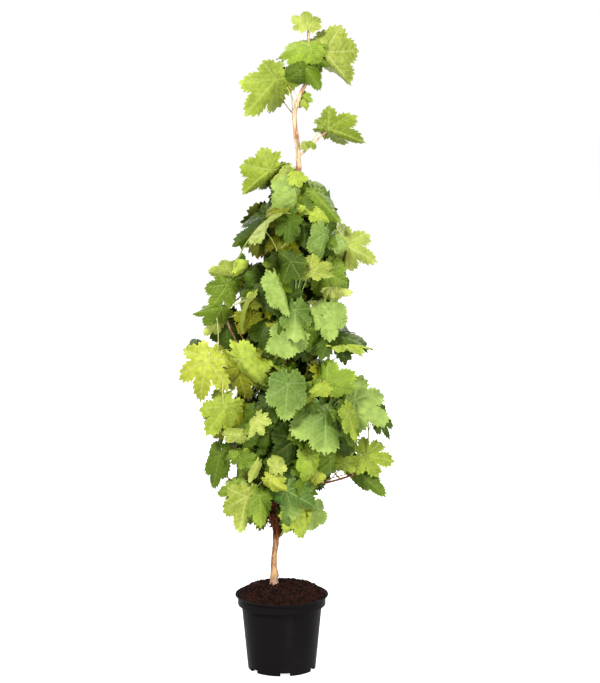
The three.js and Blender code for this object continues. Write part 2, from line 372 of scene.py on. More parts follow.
def makeSoil():
    # rings of the mound from the rim to its middle, with a skirt that goes down inside the pot
    rng = np.random.default_rng(soilLook["seed"])
    radius = lipRadius - soilLook["gap"] * mm
    turn = np.linspace(0, 2 * np.pi, soilLook["sides"], endpoint=False)
    part = np.linspace(0, 1, soilLook["rings"])[1:][::-1]
    x = part[:, None] * np.cos(turn) * radius
    y = part[:, None] * np.sin(turn) * radius
    top = np.stack([x, y, soilTop(x, y, rng)], -1)
    skirt = top[:1].copy()
    skirt[..., 2] = (soilLook["edge"] - soilLook["skirt"]) * mm
    grid = np.concatenate([skirt, top])
    peak = soilTop(np.zeros(1), np.zeros(1), np.random.default_rng(soilLook["seed"]))[0]
    points = np.concatenate([grid.reshape(-1, 3), [[0, 0, skirt[0, 0, 2]], [0, 0, peak]]])
    heap = Heap()
    heap.put(points, *ringFaces(len(grid), soilLook["sides"]), "soil")
    for _ in range(soilLook["crumbs"]):
        makeCrumb(heap, rng, radius)
    return heap


def makeCrumb(heap, rng, radius):
    # an uneven lump of eight triangles that lies on the mound
    bearing = rng.uniform(0, 2 * np.pi)
    reach = radius * math.sqrt(rng.uniform(0, 0.97))
    x, y = reach * math.cos(bearing), reach * math.sin(bearing)
    part = reach / radius
    rise = soilLook["crown"] * (1 - part ** soilLook["steep"])
    z = (soilLook["edge"] + rise + rng.uniform(-0.6, 2.4)) * mm
    corners = np.array([(1, 0, 0), (0, 1, 0), (-1, 0, 0), (0, -1, 0), (0, 0, 1), (0, 0, -1)], float)
    size = rng.uniform(*soilLook["crumbSize"]) * rng.uniform(0.6, 1.3, (6, 3)) * mm
    spin = rng.uniform(0, 2 * np.pi)
    lump = corners * size + rng.normal(0, 0.25 * mm, (6, 3))
    c, s = math.cos(spin), math.sin(spin)
    lump = lump @ np.array([[c, s, 0], [-s, c, 0], [0, 0, 1]])
    faces = np.array([(0, 1, 4), (1, 2, 4), (2, 3, 4), (3, 0, 4),
                      (1, 0, 5), (2, 1, 5), (3, 2, 5), (0, 3, 5)])
    heap.put(lump + [x, y, z], np.zeros((0, 4), int), faces, "soil")


peat, shader, place = newMaterial("peat", {"Specular IOR Level": 0.06, "Roughness": 0.95})
clods = place.grain(120, 6)
fibres = place.grain(420, 3).step(0.52, 0.68)
red = place.grain(46, 3).step(0.45, 0.7)
soilColour = clods.step(0.35, 0.65).mix(paint("0c0503"), paint("1c0c06"))
soilColour = (red * 0.6).mix(soilColour, paint("280f07"))
feed(shader, "Base Color", (fibres * 0.35).mix(soilColour, paint("381c0e")))
feedBump(shader, clods + 0.5 * fibres, 0.8, 0.002)
makeSoil().build("soil_peat", [peat], "peat")
print("soil made")


limbLook = {
    # spacing of the rings and smoothing of the centre line in mm; on a shoot also the distance
    # between joints in mm and how much wider its skin is than the limb
    "trunk": {"spacing": 1.2, "sides": 56, "smoothing": 7},
    "side_arm": {"spacing": 1.5, "sides": 20, "smoothing": 9},
    "main_shoot": {"spacing": 2.2, "sides": 28, "smoothing": 24, "joints": 62, "widen": 1.4},
    "high_right_limb": {"spacing": 2.5, "sides": 14, "smoothing": 16, "joints": 30, "widen": 1.1},
    "left_limb": {"spacing": 2.5, "sides": 14, "smoothing": 20, "joints": 30, "widen": 1.1},
    "low_right_limb": {"spacing": 2.5, "sides": 14, "smoothing": 22, "joints": 30, "widen": 1.1},
}


def centreLine(node, spacing, smoothing):
    # middle and radius of a limb: at each level, the straight line that fits the corners near it
    corners = np.array([v.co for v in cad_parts[node].data.vertices])
    axis = int(np.argmax(np.ptp(corners, axis=0)))
    level = corners[:, axis]
    count = max(8, int(np.ptp(level) / (spacing * mm)))
    at = np.linspace(level.min(), level.max(), count)
    weight = np.exp(-(((level[None] - at[:, None]) / (smoothing * mm)) ** 2))
    weight /= weight.sum(1, keepdims=True)
    middle = weight @ corners
    meanLevel = weight @ level
    spread = weight @ (level ** 2) - meanLevel ** 2
    slope = (weight @ (corners * level[:, None]) - middle * meanLevel[:, None]) / spread[:, None]
    line = middle + slope * (at - meanLevel)[:, None]
    there = np.stack([np.interp(level, at, line[:, k]) for k in range(3)], 1)
    along = unit(np.gradient(line, axis=0))
    towards = np.stack([np.interp(level, at, along[:, k]) for k in range(3)], 1)
    offset = corners - there
    across = np.linalg.norm(offset - (offset * towards).sum(1, keepdims=True) * towards, axis=1)
    return line, weight @ across


limbLines = {node: centreLine(node, look["spacing"], look["smoothing"])
             for node, look in limbLook.items()}


def bell(x, centre, width):
    # 1 at the centre, falling to nothing on both sides
    return np.exp(-(((x - centre) / width) ** 2))


barkLook = {
    "widen": 1.17,             # radius of the skin over that of the limb
    "oldFrom": 268,            # height where the bare shaft ends and the old bark starts, mm
    "oldOver": 16,
    "plate": 1.35, "furrow": 0.34,      # relief of the old bark and of the shaft, mm
    "grit": (0.04, 0.22),      # on the shaft, and what the old bark has more
    # height, half height, bearing in radians and rise of each knot, mm
    "knots": ((189, 5, 3.3, 2.6), (180, 4, 0.6, 1.2), (279, 7, 3.0, 5.2),
              (300, 6, 0.2, 2.6), (318, 8, 2.6, 2.4), (344, 7, 0.7, 2.0)),
    # cut-back stubs: four points of the path, radius at the root and at the end, mm
    "stubs": (((-12, 9, 302), (-24, 6, 296), (-29, 5, 303), (-33, 4, 313), 2.1, 1.0),
              ((-12, 8, 312), (-21, 4, 313), (-25, 3, 318), (-27, 2, 327), 1.9, 0.9),
              ((-12, 9, 296), (-22, 10, 288), (-28, 9, 291), (-31, 9, 299), 1.5, 0.7),
              ((-10, 8, 330), (-2, 0, 334), (3, -3, 339), (4, -4, 345), 2.0, 1.2)),
    "seed": 21,
}


def trunkSurface(line, radius, rng):
    # radius over height and bearing: that of the limb, plus plates of old bark above the bare
    # shaft, furrows on the shaft, a bell for each knot, and grit
    level = line[:, 2:] / mm
    grid = (len(line), limbLook["trunk"]["sides"])
    turn = np.linspace(0, 2 * np.pi, grid[1], endpoint=False)[None]
    old = np.clip((level - barkLook["oldFrom"]) / barkLook["oldOver"], 0, 1)
    strips = waves(grid, rng, [(3, 7), (5, 11), (8, 13), (4, 9), (11, 17)])
    plates = np.tanh(4 * strips) * 0.5 + waves(grid, rng, [(30, 6), (44, 12), (21, 19)])
    furrows = waves(grid, rng, [(2, 8), (3, 12), (6, 15)])
    relief = old * barkLook["plate"] * plates + (1 - old) * barkLook["furrow"] * furrows
    for at, wide, bearing, tall in barkLook["knots"]:
        far = np.angle(np.exp(1j * (turn - bearing)))
        relief = relief + tall * bell(level, at, wide) * np.exp(-(far / 0.75) ** 2)
    shaftGrit, oldGrit = barkLook["grit"]
    relief = relief + (shaftGrit + oldGrit * old) * rng.normal(0, 1, grid)
    return barkLook["widen"] * radius[:, None] + relief * mm


def shootSurface(line, radius, rng, look):
    # radius of a cane over length and bearing: ribs along it, and a swelling at each joint
    sides = look["sides"]
    length = np.concatenate([[0], np.cumsum(np.linalg.norm(np.diff(line, axis=0), axis=1))])
    beat = (length / (look["joints"] * mm)) % 1
    swell = bell(beat, 0.5, 0.06) * 0.24 + bell(beat, 0.45, 0.16) * 0.07
    ribs = waves((len(line), sides), rng, [(1, 5), (2, 7), (3, 3)]) * 0.05
    return look["widen"] * radius[:, None] * (1 + swell[:, None] + ribs)


oldBark, shader, place = newMaterial("old bark", {"Specular IOR Level": 0.1, "Roughness": 0.85})
height = place.add("ShaderNodeSeparateXYZ", {}, {"Vector": place}, "Z")
streaks = place.grain(260, 4, (1, 1, 0.12))
flecks = place.grain(700, 3, (1, 1, 0.22))
patches = place.grain(90, 3, (1, 1, 0.3)).step(0.42, 0.62)
shaft = (patches * 0.75).mix(paint("b48e66"), paint("74401f"))
shaft = (streaks.step(0.46, 0.6) * 0.85).mix(shaft, paint("4c220e"))
shaft = (flecks.step(0.54, 0.66) * 0.7).mix(shaft, paint("d4b694"))
rough = streaks.step(0.42, 0.62).mix(paint("251107"), paint("62341d"))
rough = (flecks.step(0.55, 0.68) * 0.55).mix(rough, paint("906241"))
grey = place.grain(150, 3).step(0.4, 0.65).mix(paint("795b49"), paint("a28672"))
low = height.step(0.196, 0.172)
feed(shader, "Base Color", height.step(0.262, 0.278).mix(low.mix(shaft, grey), rough))
feedBump(shader, streaks * 0.7 + flecks * 0.5, 0.7, 0.0012)

caneBark, shader, place = newMaterial("cane bark", {"Specular IOR Level": 0.1, "Roughness": 0.6})
height = place.add("ShaderNodeSeparateXYZ", {}, {"Vector": place}, "Z")
lines = place.grain(380, 3, (1, 1, 0.06))
spots = place.grain(70, 4, (1, 1, 0.5)).step(0.45, 0.65)
young = spots.mix(paint("b39e7c"), paint("94634a"))
old = spots.mix(paint("825739"), paint("5b331c"))
caneColour = height.step(0.45, 0.95).mix(old, young)
feed(shader, "Base Color", (lines.step(0.43, 0.6) * 0.6).mix(caneColour, paint("5a2c1c")))
feedBump(shader, lines, 0.4, 0.0006)

twigBark, shader, place = newMaterial("twig bark", {"Specular IOR Level": 0.1, "Roughness": 0.6})
mottle = place.grain(60, 3).step(0.35, 0.65)
feed(shader, "Base Color", mottle.mix(paint("706d26"), paint("673b21")))
feedBump(shader, place.grain(500, 2), 0.2, 0.0004)


def addStubs(heap, rng):
    # the cut-back stubs: short curved pegs, rough and thinner towards the end
    for a, b, c, d, wide, thin in barkLook["stubs"]:
        path = bezier(*(np.array(p) * mm for p in (a, b, c, d)), 22)
        taper = np.linspace(wide, thin, 22)[:, None] * mm
        skin = taper * (1 + 0.16 * rng.normal(0, 1, (22, 12)))
        heap.put(*tube(path, skin, 12), "trunk")


def makeTrunk():
    # trunk, stubs and side arm in one piece
    rng = np.random.default_rng(barkLook["seed"])
    heap = Heap()
    line, radius = limbLines["trunk"]
    heap.put(*tube(line, trunkSurface(line, radius, rng), limbLook["trunk"]["sides"]), "trunk")
    addStubs(heap, rng)
    line, radius = limbLines["side_arm"]
    line = np.concatenate([[line[0] + np.array([-6, 1, -5]) * mm], line])   # rooted in the trunk
    radius = np.concatenate([radius[:1] * 1.1, radius])
    grid = (len(line), limbLook["side_arm"]["sides"])
    folds = 0.1 * waves(grid, rng, [(4, 5), (7, 8), (11, 3)])
    skin = radius[:, None] * (1 + folds + 0.05 * rng.normal(0, 1, grid))
    heap.put(*tube(line, skin, grid[1]), "side_arm")
    heap.build("trunk_bark", [oldBark], "old_bark")


shootLook = {
    "bow": (1.09, 0.06, 3.5 * mm),    # where the bare part bows to the right, over what, how far
    # height and side of each bud on the bare part
    "buds": ((1.0, 1), (1.034, -1), (1.058, -1), (1.088, 1), (1.128, -1)),
    "budWidth": (2.4, 0.5),           # radius at the foot and at the point, mm
    "seed": 33,
}


def addBuds(heap, line, rng):
    # pointed buds that stand out of the bare part of the shoot and turn up
    up = np.array([0, 0, 1])
    for height, side in shootLook["buds"]:
        foot = np.array([np.interp(height, line[:, 2], line[:, k]) for k in range(3)])
        out = np.array([side, rng.uniform(-0.6, 0.3), 0])
        neck = foot + 4 * mm * out
        path = bezier(foot, neck, foot + (5.5 * out + up) * mm, foot + (6.5 * out + 4 * up) * mm, 8)
        heap.put(*tube(path, np.linspace(*shootLook["budWidth"], 8) * mm, 8), "main_shoot")


def makeShoots():
    # the main shoot and the three limbs in one piece
    rng = np.random.default_rng(shootLook["seed"])
    heap = Heap()
    for node in ("main_shoot", "high_right_limb", "left_limb", "low_right_limb"):
        line, radius = limbLines[node]
        if node == "main_shoot":
            height, over, far = shootLook["bow"]
            line = line + np.outer(bell(line[:, 2], height, over), [far, 0, 0])
            addBuds(heap, line, rng)
        skin = shootSurface(line, radius, rng, limbLook[node])
        heap.put(*tube(line, skin, limbLook[node]["sides"]), node)
    heap.build("shoot_bark", [caneBark], "green_wood")


makeTrunk()
makeShoots()
print("trunk and shoots made")


bladeLook = {
    "veins": (0, 52, 104, 150),        # bearings of the lobes from the tip, each side, degrees
    "reach": (1, 0.9, 0.75, 0.55),     # their lengths, as parts of the middle lobe
    "bays": (27, 79, 129),             # bearings of the gaps between the lobes
    "shallow": (0.84, 0.78, 0.62),     # how far the gaps reach in a leaf that is hardly lobed
    "deep": (0.5, 0.46, 0.44),         # and in one that is deeply lobed
    "bayClose": (1.15, 1.0, 0.5),      # how far the lobes lean together over each gap
    "teeth": (5, 4, 4, 3, 3, 2, 3),    # on each run of the margin, from the tip round to the stalk
    "toothHeight": 0.062,
    "tooth": ((0, 1), (0.36, 0.62), (0.7, 0)),   # place along one tooth and height, tip first
    "rings": (0.13, 0.34, 0.55, 0.75, 0.9, 1),
    "ribWidth": (0.008, 0.002),        # half width of a main vein, at the stalk and at the margin
    "skins": 2,
    "thickness": 0.45,                 # mm
    "arch": 0.06, "lobeRise": (-0.04, 0.15), "wave": 0.05, "ripple": 0.014,   # relief of the blade
    "raisedTone": 3.4,                 # painted light and shade: how much paler the raised parts are drawn, and darker the sunk ones
    "marginTone": 0.3,                 # and the painted light that makes the margin paler
}
# a blade of one skin and a few dozen faces, for the many leaves between the large ones
smallBlade = dict(bladeLook, teeth=(2, 1, 2, 1, 1, 1, 1), tooth=((0, 1), (0.62, 0)), rings=(0.55, 1),
                  toothHeight=0.1, skins=1)


def marginColumns(look, lobed, rng):
    # for each half of the blade, from the tip round to the stalk: bearing, tooth height, rib side
    # and rib mark of each column of its grid, and the length of the toothless outline by bearing
    veins = np.radians(look["veins"])
    bays = np.radians(look["bays"])
    stops = np.array([veins[0], bays[0], veins[1], bays[1], veins[2], bays[2], veins[3], np.pi])
    bayReach = np.array(look["shallow"]) * (1 - lobed) + np.array(look["deep"]) * lobed
    reach = np.array([look["reach"][0], bayReach[0], look["reach"][1], bayReach[1],
                      look["reach"][2], bayReach[2], look["reach"][3], 0.1])
    halves = []
    for _ in range(2):
        wobble = rng.normal(0, 0.035, 8)
        wobble[[0, 7]] = 0
        sideReach = reach * (1 + wobble)
        bearing = np.linspace(0, np.pi, 721)
        run = np.clip(np.searchsorted(stops, bearing, side="right") - 1, 0, 6)
        part = (bearing - stops[run]) / (stops[run + 1] - stops[run])
        falling = run % 2 == 0
        away = np.where(falling, part, 1 - part)   # 0 on a lobe's tip, 1 in a gap
        tip = np.where(falling, sideReach[run], sideReach[run + 1])
        bay = np.where(falling, sideReach[run + 1], sideReach[run])
        curve = 0.7 * (1 - away) + 0.3 * (1 - away ** 1.8)
        length = bay + (tip - bay) * curve
        outline = length[:, None] * np.stack([np.sin(bearing), np.cos(bearing)], 1)
        along = np.concatenate([[0], np.cumsum(np.linalg.norm(np.diff(outline, axis=0), axis=1))])
        ends = np.interp(stops, bearing, along)
        columns = []
        for k, teeth in enumerate(look["teeth"]):
            places = (np.arange(teeth)[:, None] + [place for place, _ in look["tooth"]]).ravel()
            heights = np.tile([rise for _, rise in look["tooth"]], teeth)
            if k % 2:
                places = np.concatenate([[0], (teeth - places)[::-1][:-1]])
                heights = np.concatenate([[0], heights[::-1][:-1]])
            at = np.interp(ends[k] + (ends[k + 1] - ends[k]) * places / teeth, along, bearing)
            for j, (a, h) in enumerate(zip(at, heights)):
                onVein = j == 0 and k in (0, 2, 4) and look["skins"] == 2
                if onVein and k:
                    columns.append((a, h, -1, 1))
                columns.append((a, h, 0, onVein))
                if onVein:
                    columns.append((a, h, 1, 1))
        columns = np.array(columns)
        halves.append((columns, bearing, length))
    return halves


def bladeFlat(look, lobed, rng):
    # the flat blade in units of its own length: x across, y towards the tip, on a grid of
    # columns round the stalk by rings outwards. Inner rings are scaled copies of the outline
    # without teeth; the last ring has them, set square to the outline and leaning tipwards.
    halves = marginColumns(look, lobed, rng)
    rings = np.array(look["rings"])
    parts = []
    for (columns, bearing, length), side in zip(halves, (1, -1)):
        a, tooth, rib, onRib = columns.T
        r = np.interp(a, bearing, length)
        ahead = np.stack([np.sin(a), np.cos(a)], 1)
        across = np.stack([np.cos(a), -np.sin(a)], 1)
        slope = np.interp(a, bearing, np.gradient(length, bearing))
        tangent = unit(ahead * slope[:, None] + across * r[:, None])
        outward = np.stack([-tangent[:, 1], tangent[:, 0]], 1)
        outward *= np.sign((outward * ahead).sum(1))[:, None]
        tipward = tangent * np.sign(slope)[:, None]
        size = look["toothHeight"] * rng.uniform(0.8, 1.25, len(a))
        grid = rings[None, :, None] * (r[:, None] * ahead)[:, None]
        grid[:, -1] += (tooth * size)[:, None] * (outward + 0.45 * tipward)
        inner, outer = look["ribWidth"]
        width = inner + (outer - inner) * rings
        grid += (rib[:, None] * width)[..., None] * across[:, None]
        if side < 0:
            grid = grid[1:][::-1] * [-1, 1]
            onRib = onRib[1:][::-1]
        parts.append((grid, onRib))
    notch = rings[:, None] * np.array([0, -0.1])
    flat = np.concatenate([parts[0][0], notch[None], parts[1][0]])
    onRib = np.concatenate([parts[0][1], [0], parts[1][1]])
    return flat, onRib > 0


def closeBays(flat, look, lobed, strength):
    # bends the lobes towards each other over the gaps: the bearing shrinks towards the gap's own
    # bearing, more the further out the point lies past the gap's foot
    x, y = flat[..., 0], flat[..., 1]
    r = np.hypot(x, y)
    a = np.arctan2(x, y)
    veins = np.radians(look["veins"])
    for k, bay in enumerate(np.radians(look["bays"])):
        half = 0.5 * (veins[k + 1] - veins[k])
        foot = look["shallow"][k] * (1 - lobed) + look["deep"][k] * lobed
        rise = np.clip((r - foot) / 0.42, 0, 1)
        for side in (1, -1):
            off = a - side * bay
            window = np.clip(1 - (off / half) ** 2, 0, 1) ** 2
            squeeze = np.clip(look["bayClose"][k] * strength * rise * window * 1.3, 0, 0.9)
            a = a - off * squeeze
    return np.stack([r * np.sin(a), r * np.cos(a)], -1)


def bladeRelief(flat, look, leaf, rng):
    # height of the blade over its flat shape, in units of its length: an arch between each two
    # veins, a lobe lifted or sunk about each vein, two waves round the margin, and the cup
    x, y = flat[..., 0], flat[..., 1]
    r = np.hypot(x, y)
    a = np.degrees(np.arctan2(x, y))
    stops = np.array([*look["veins"], 180.0])
    k = np.clip(np.searchsorted(stops, np.abs(a), side="right") - 1, 0, len(stops) - 2)
    part = (np.abs(a) - stops[k]) / (stops[k + 1] - stops[k])
    z = look["arch"] * np.sin(np.pi * part) * np.sqrt(r) * (1.25 - r)
    tip, *others = look["veins"]
    for vein in (tip, *(side * other for other in others for side in (1, -1))):
        far = (a - vein + 180) % 360 - 180
        z = z + rng.normal(*look["lobeRise"]) * r ** 2 * np.exp(-(far / 24) ** 2)
    z = z + look["wave"] * r ** 3 * np.sin(np.radians(a) * rng.integers(5, 9) + rng.uniform(0, 6))
    z = z + look["ripple"] * r ** 4 * np.sin(np.radians(a) * 17 + rng.uniform(0, 6))
    return z + leaf["cup"] * r ** 2


def bladeBend(flat, z, leaf):
    # leans the two halves about the midrib by their folds, softly near it, then bends the midrib
    # into an arc of "droop" towards the tip and "backDroop" towards the stalk
    x, y = flat[..., 0], flat[..., 1]
    wide = np.abs(x)
    fold = np.radians(np.where(x > 0, leaf["foldA"], leaf["foldB"]))
    lean = fold * (1 - np.exp(-wide / 0.1))
    rise = z * np.cos(lean) + wide * np.sin(lean)
    across = np.sign(x) * (wide * np.cos(lean) - z * np.sin(lean))
    curl = np.radians(np.where(y > 0, leaf["droop"], leaf["backDroop"]))
    curl = np.where(np.abs(curl) < 1e-3, 1e-3, curl)
    ahead = np.sin(curl * y) / curl + rise * np.sin(curl * y)
    rise = rise * np.cos(curl * y) - (1 - np.cos(curl * y)) / np.abs(curl) * np.sign(curl)
    return np.stack([across, ahead, rise], -1)


def veinMap(flat, look):
    # U steps by one at each side vein, V is the distance from the nearest main vein
    x, y = flat[..., 0], flat[..., 1]
    r = np.hypot(x, y)
    a = np.arctan2(x, y)
    main = np.radians(np.concatenate([look["veins"], -np.array(look["veins"][1:])]))
    off = np.angle(np.exp(1j * (a[..., None] - main)))
    off = np.take_along_axis(off, np.abs(off).argmin(-1)[..., None], -1)[..., 0]
    along, aside = r * np.cos(off), np.abs(r * np.sin(off))
    return np.stack([(along - 0.75 * aside) * 7, aside], -1)


def bladeFaces(columns, rings):
    # corner numbers of one skin of a blade: point 0 is the stalk's joint, then ring by ring
    c = np.arange(columns)
    after = (c + 1) % columns
    fan = np.stack([np.zeros(columns, int), 1 + after, 1 + c], -1)
    rows = 1 + (np.arange(rings - 1) * columns)[:, None]
    quads = np.stack([rows + c, rows + after, rows + columns + after, rows + columns + c], -1)
    return fan, quads.reshape(-1, 4)


def leafMesh(look, leaf, rng):
    # a blade of one skin, or of two that meet at the margin, in units of its length. The lower
    # skin is the upper one moved down along its normals.
    flat, onRib = bladeFlat(look, leaf["lobed"], rng)
    flat = closeBays(flat, look, leaf["lobed"], leaf["close"])
    flat = flat * [leaf["wide"], 1]
    relief = bladeRelief(flat, look, leaf, rng)
    bent = bladeBend(flat, relief, leaf)
    columns, rings = flat.shape[:2]
    top = np.concatenate([[[0, 0, 0]], bent.transpose(1, 0, 2).reshape(-1, 3)])
    fan, quads = bladeFaces(columns, rings)
    chart = np.concatenate([[[0, 0]], veinMap(flat, look).transpose(1, 0, 2).reshape(-1, 2)])
    # painted light and shade on the blade: raised parts paler, sunk ones darker and the margin paler,
    # on top of the leaf's own tone
    raised = relief - leaf["cup"] * (flat ** 2).sum(-1)
    shade = look["raisedTone"] * (raised - raised.mean())
    tone = np.concatenate([[0.0], shade.T.ravel()]) + leaf["tone"]
    tone[-columns:] += look["marginTone"]
    tone = np.clip(tone, -0.3, 1.3)
    if look["skins"] == 1:
        slots = np.zeros(len(quads)), np.zeros(len(fan))
        return top, quads, fan, *slots, np.zeros(len(top), bool), {"veinGrid": chart, "leafToneAndShade": tone}
    normal = np.zeros_like(top)
    for face in (fan, quads[:, [0, 1, 2]], quads[:, [0, 2, 3]]):
        n = np.cross(top[face[:, 1]] - top[face[:, 0]], top[face[:, 2]] - top[face[:, 0]])
        for corner in range(3):
            np.add.at(normal, face[:, corner], n)
    normal = unit(normal)
    inner = 1 + columns * (rings - 1)
    thick = look["thickness"] / leaf["size"]
    bottom = top[:inner] - thick * normal[:inner]
    total = len(top)
    down = np.arange(total)
    down[:inner] = total + np.arange(inner)
    points = np.concatenate([top, bottom])
    allQuads = np.concatenate([quads, down[quads][:, ::-1]])
    allFans = np.concatenate([fan, down[fan][:, ::-1]])
    ribFans = onRib & np.roll(onRib, -1)
    ribQuads = np.tile(ribFans, rings - 1)
    quadSlots = np.concatenate([np.where(ribQuads, 2, 0), np.where(ribQuads, 2, 1)])
    triSlots = np.concatenate([np.where(ribFans, 2, 0), np.where(ribFans, 2, 1)])
    chart = np.concatenate([chart, chart[:inner]])
    tone = np.concatenate([tone, tone[:inner]])
    rim = np.zeros(len(points), bool)
    rim[inner:total] = True
    return points, allQuads, allFans, quadSlots, triSlots, rim, {"veinGrid": chart, "leafToneAndShade": tone}


def leafAxes(leaf):
    # the blade's own axes across, along and upward. The upper side looks out at the bearing
    # "turn" (0 is the front, 90 the right) and rises by "lift"; "heading" turns the tip in the
    # blade's plane from straight down towards the right, and "roll" tips the blade about its midrib.
    turn, lift, heading, roll = (math.radians(leaf[key]) for key in ("turn", "lift", "heading", "roll"))
    level = np.array([math.sin(turn), -math.cos(turn), 0])
    seen = math.cos(lift) * level + math.sin(lift) * np.array([0, 0, 1])
    down = math.sin(lift) * level - math.cos(lift) * np.array([0, 0, 1])
    tip = math.cos(heading) * down + math.sin(heading) * np.cross(seen, down)
    seen = math.cos(roll) * seen + math.sin(roll) * np.cross(tip, seen)
    return np.cross(tip, seen), tip, seen


leafTints = {
    # in full light: two neighbouring shades of the upper side, the under side and the main veins.
    # The tints are partly the leaves' own colours and partly painted light: pale and yellow stand
    # for light through the leaves on the left, dark and deep for the shade inside the crown
    "pale": ("94a038", "c4cf64", "a1ac52", "cfd780"),
    "yellow": ("a0ab2c", "cbd24c", "adb54e", "d3d978"),
    "fresh": ("74861c", "b2c442", "869836", "b9c360"),
    "green": ("587012", "93ab32", "70842c", "a3b550"),
    "bluish": ("547027", "9db556", "728846", "9cb660"),
    "olive": ("686c04", "989c17", "7a7e22", "abab34"),
    "deep": ("364a02", "627a12", "4c5c1c", "859538"),
    "dark": ("243401", "4a620a", "3c4c12", "6b7b24"),
    "emerald": ("285417", "4f7f28", "4d6930", "759944"),
}
leafShare = 0.58    # of those colours, under the studio's own light


def leafUpper(tint, first, second, vein):
    # upper side: paler along the main and side veins, the skin raised between them
    material, shader, place = newMaterial("leaf " + tint, {"Specular IOR Level": 0.12})
    tone = place.add("ShaderNodeAttribute", {"attribute_name": "leafToneAndShade"}, {}, "Fac")
    chart = place.add("ShaderNodeUVMap", {"uv_map": "veinGrid"}, {})
    step = place.add("ShaderNodeSeparateXYZ", {}, {"Vector": chart}, "X")
    aside = place.add("ShaderNodeSeparateXYZ", {}, {"Vector": chart}, "Y")
    beat = (step.sums("FRACT", step, 0.0) - 0.5).size()
    sideVein = beat.step(0.36, 0.5)
    mainVein = aside.step(0.05, 0.0)
    blotch = place.grain(70, 3).step(0.35, 0.65)
    # the tone attribute mixes the two shades: each leaf's own tone plus the painted light and shade of
    # its relief and margin
    colour = tone.mix(paint(first, leafShare), paint(second, leafShare))
    colour = (0.3 * blotch).mix(colour, paint("3c5a10", leafShare))
    colour = (0.2 * sideVein + 0.24 * mainVein).mix(colour, paint(vein, leafShare))
    feed(shader, "Base Color", colour)
    feed(shader, "Roughness", 0.46 + 0.14 * blotch)
    crinkle = 1.8 * place.grain(85, 3) + 0.8 * place.grain(190, 2)
    feedBump(shader, 0.25 * beat.step(0.5, 0.1) + crinkle, 0.85, 0.0018)
    return material


def leafPlain(name, colour, roughness, depth=1.0):
    # under sides, veins and stalks: one colour, a little mottled
    material, shader, place = newMaterial(name, {"Specular IOR Level": 0.2, "Roughness": roughness})
    mottle = place.grain(110, 3)
    share = leafShare * depth
    feed(shader, "Base Color", (0.3 * mottle).mix(paint(colour, share), paint("6b7c3a", share)))
    return material


leafSkins = {}
for tint, (first, second, under, vein) in leafTints.items():
    leafSkins[tint] = [leafUpper(tint, first, second, vein), leafPlain("under " + tint, under, 0.72),
                       leafPlain("vein " + tint, vein, 0.6, 0.85)]
stalkSkin = leafPlain("leaf stalk", "d0d27c", 0.5)
leafHeaps = {tint: Heap() for tint in leafTints}
stalkHeap = Heap()
twigHeap = Heap()


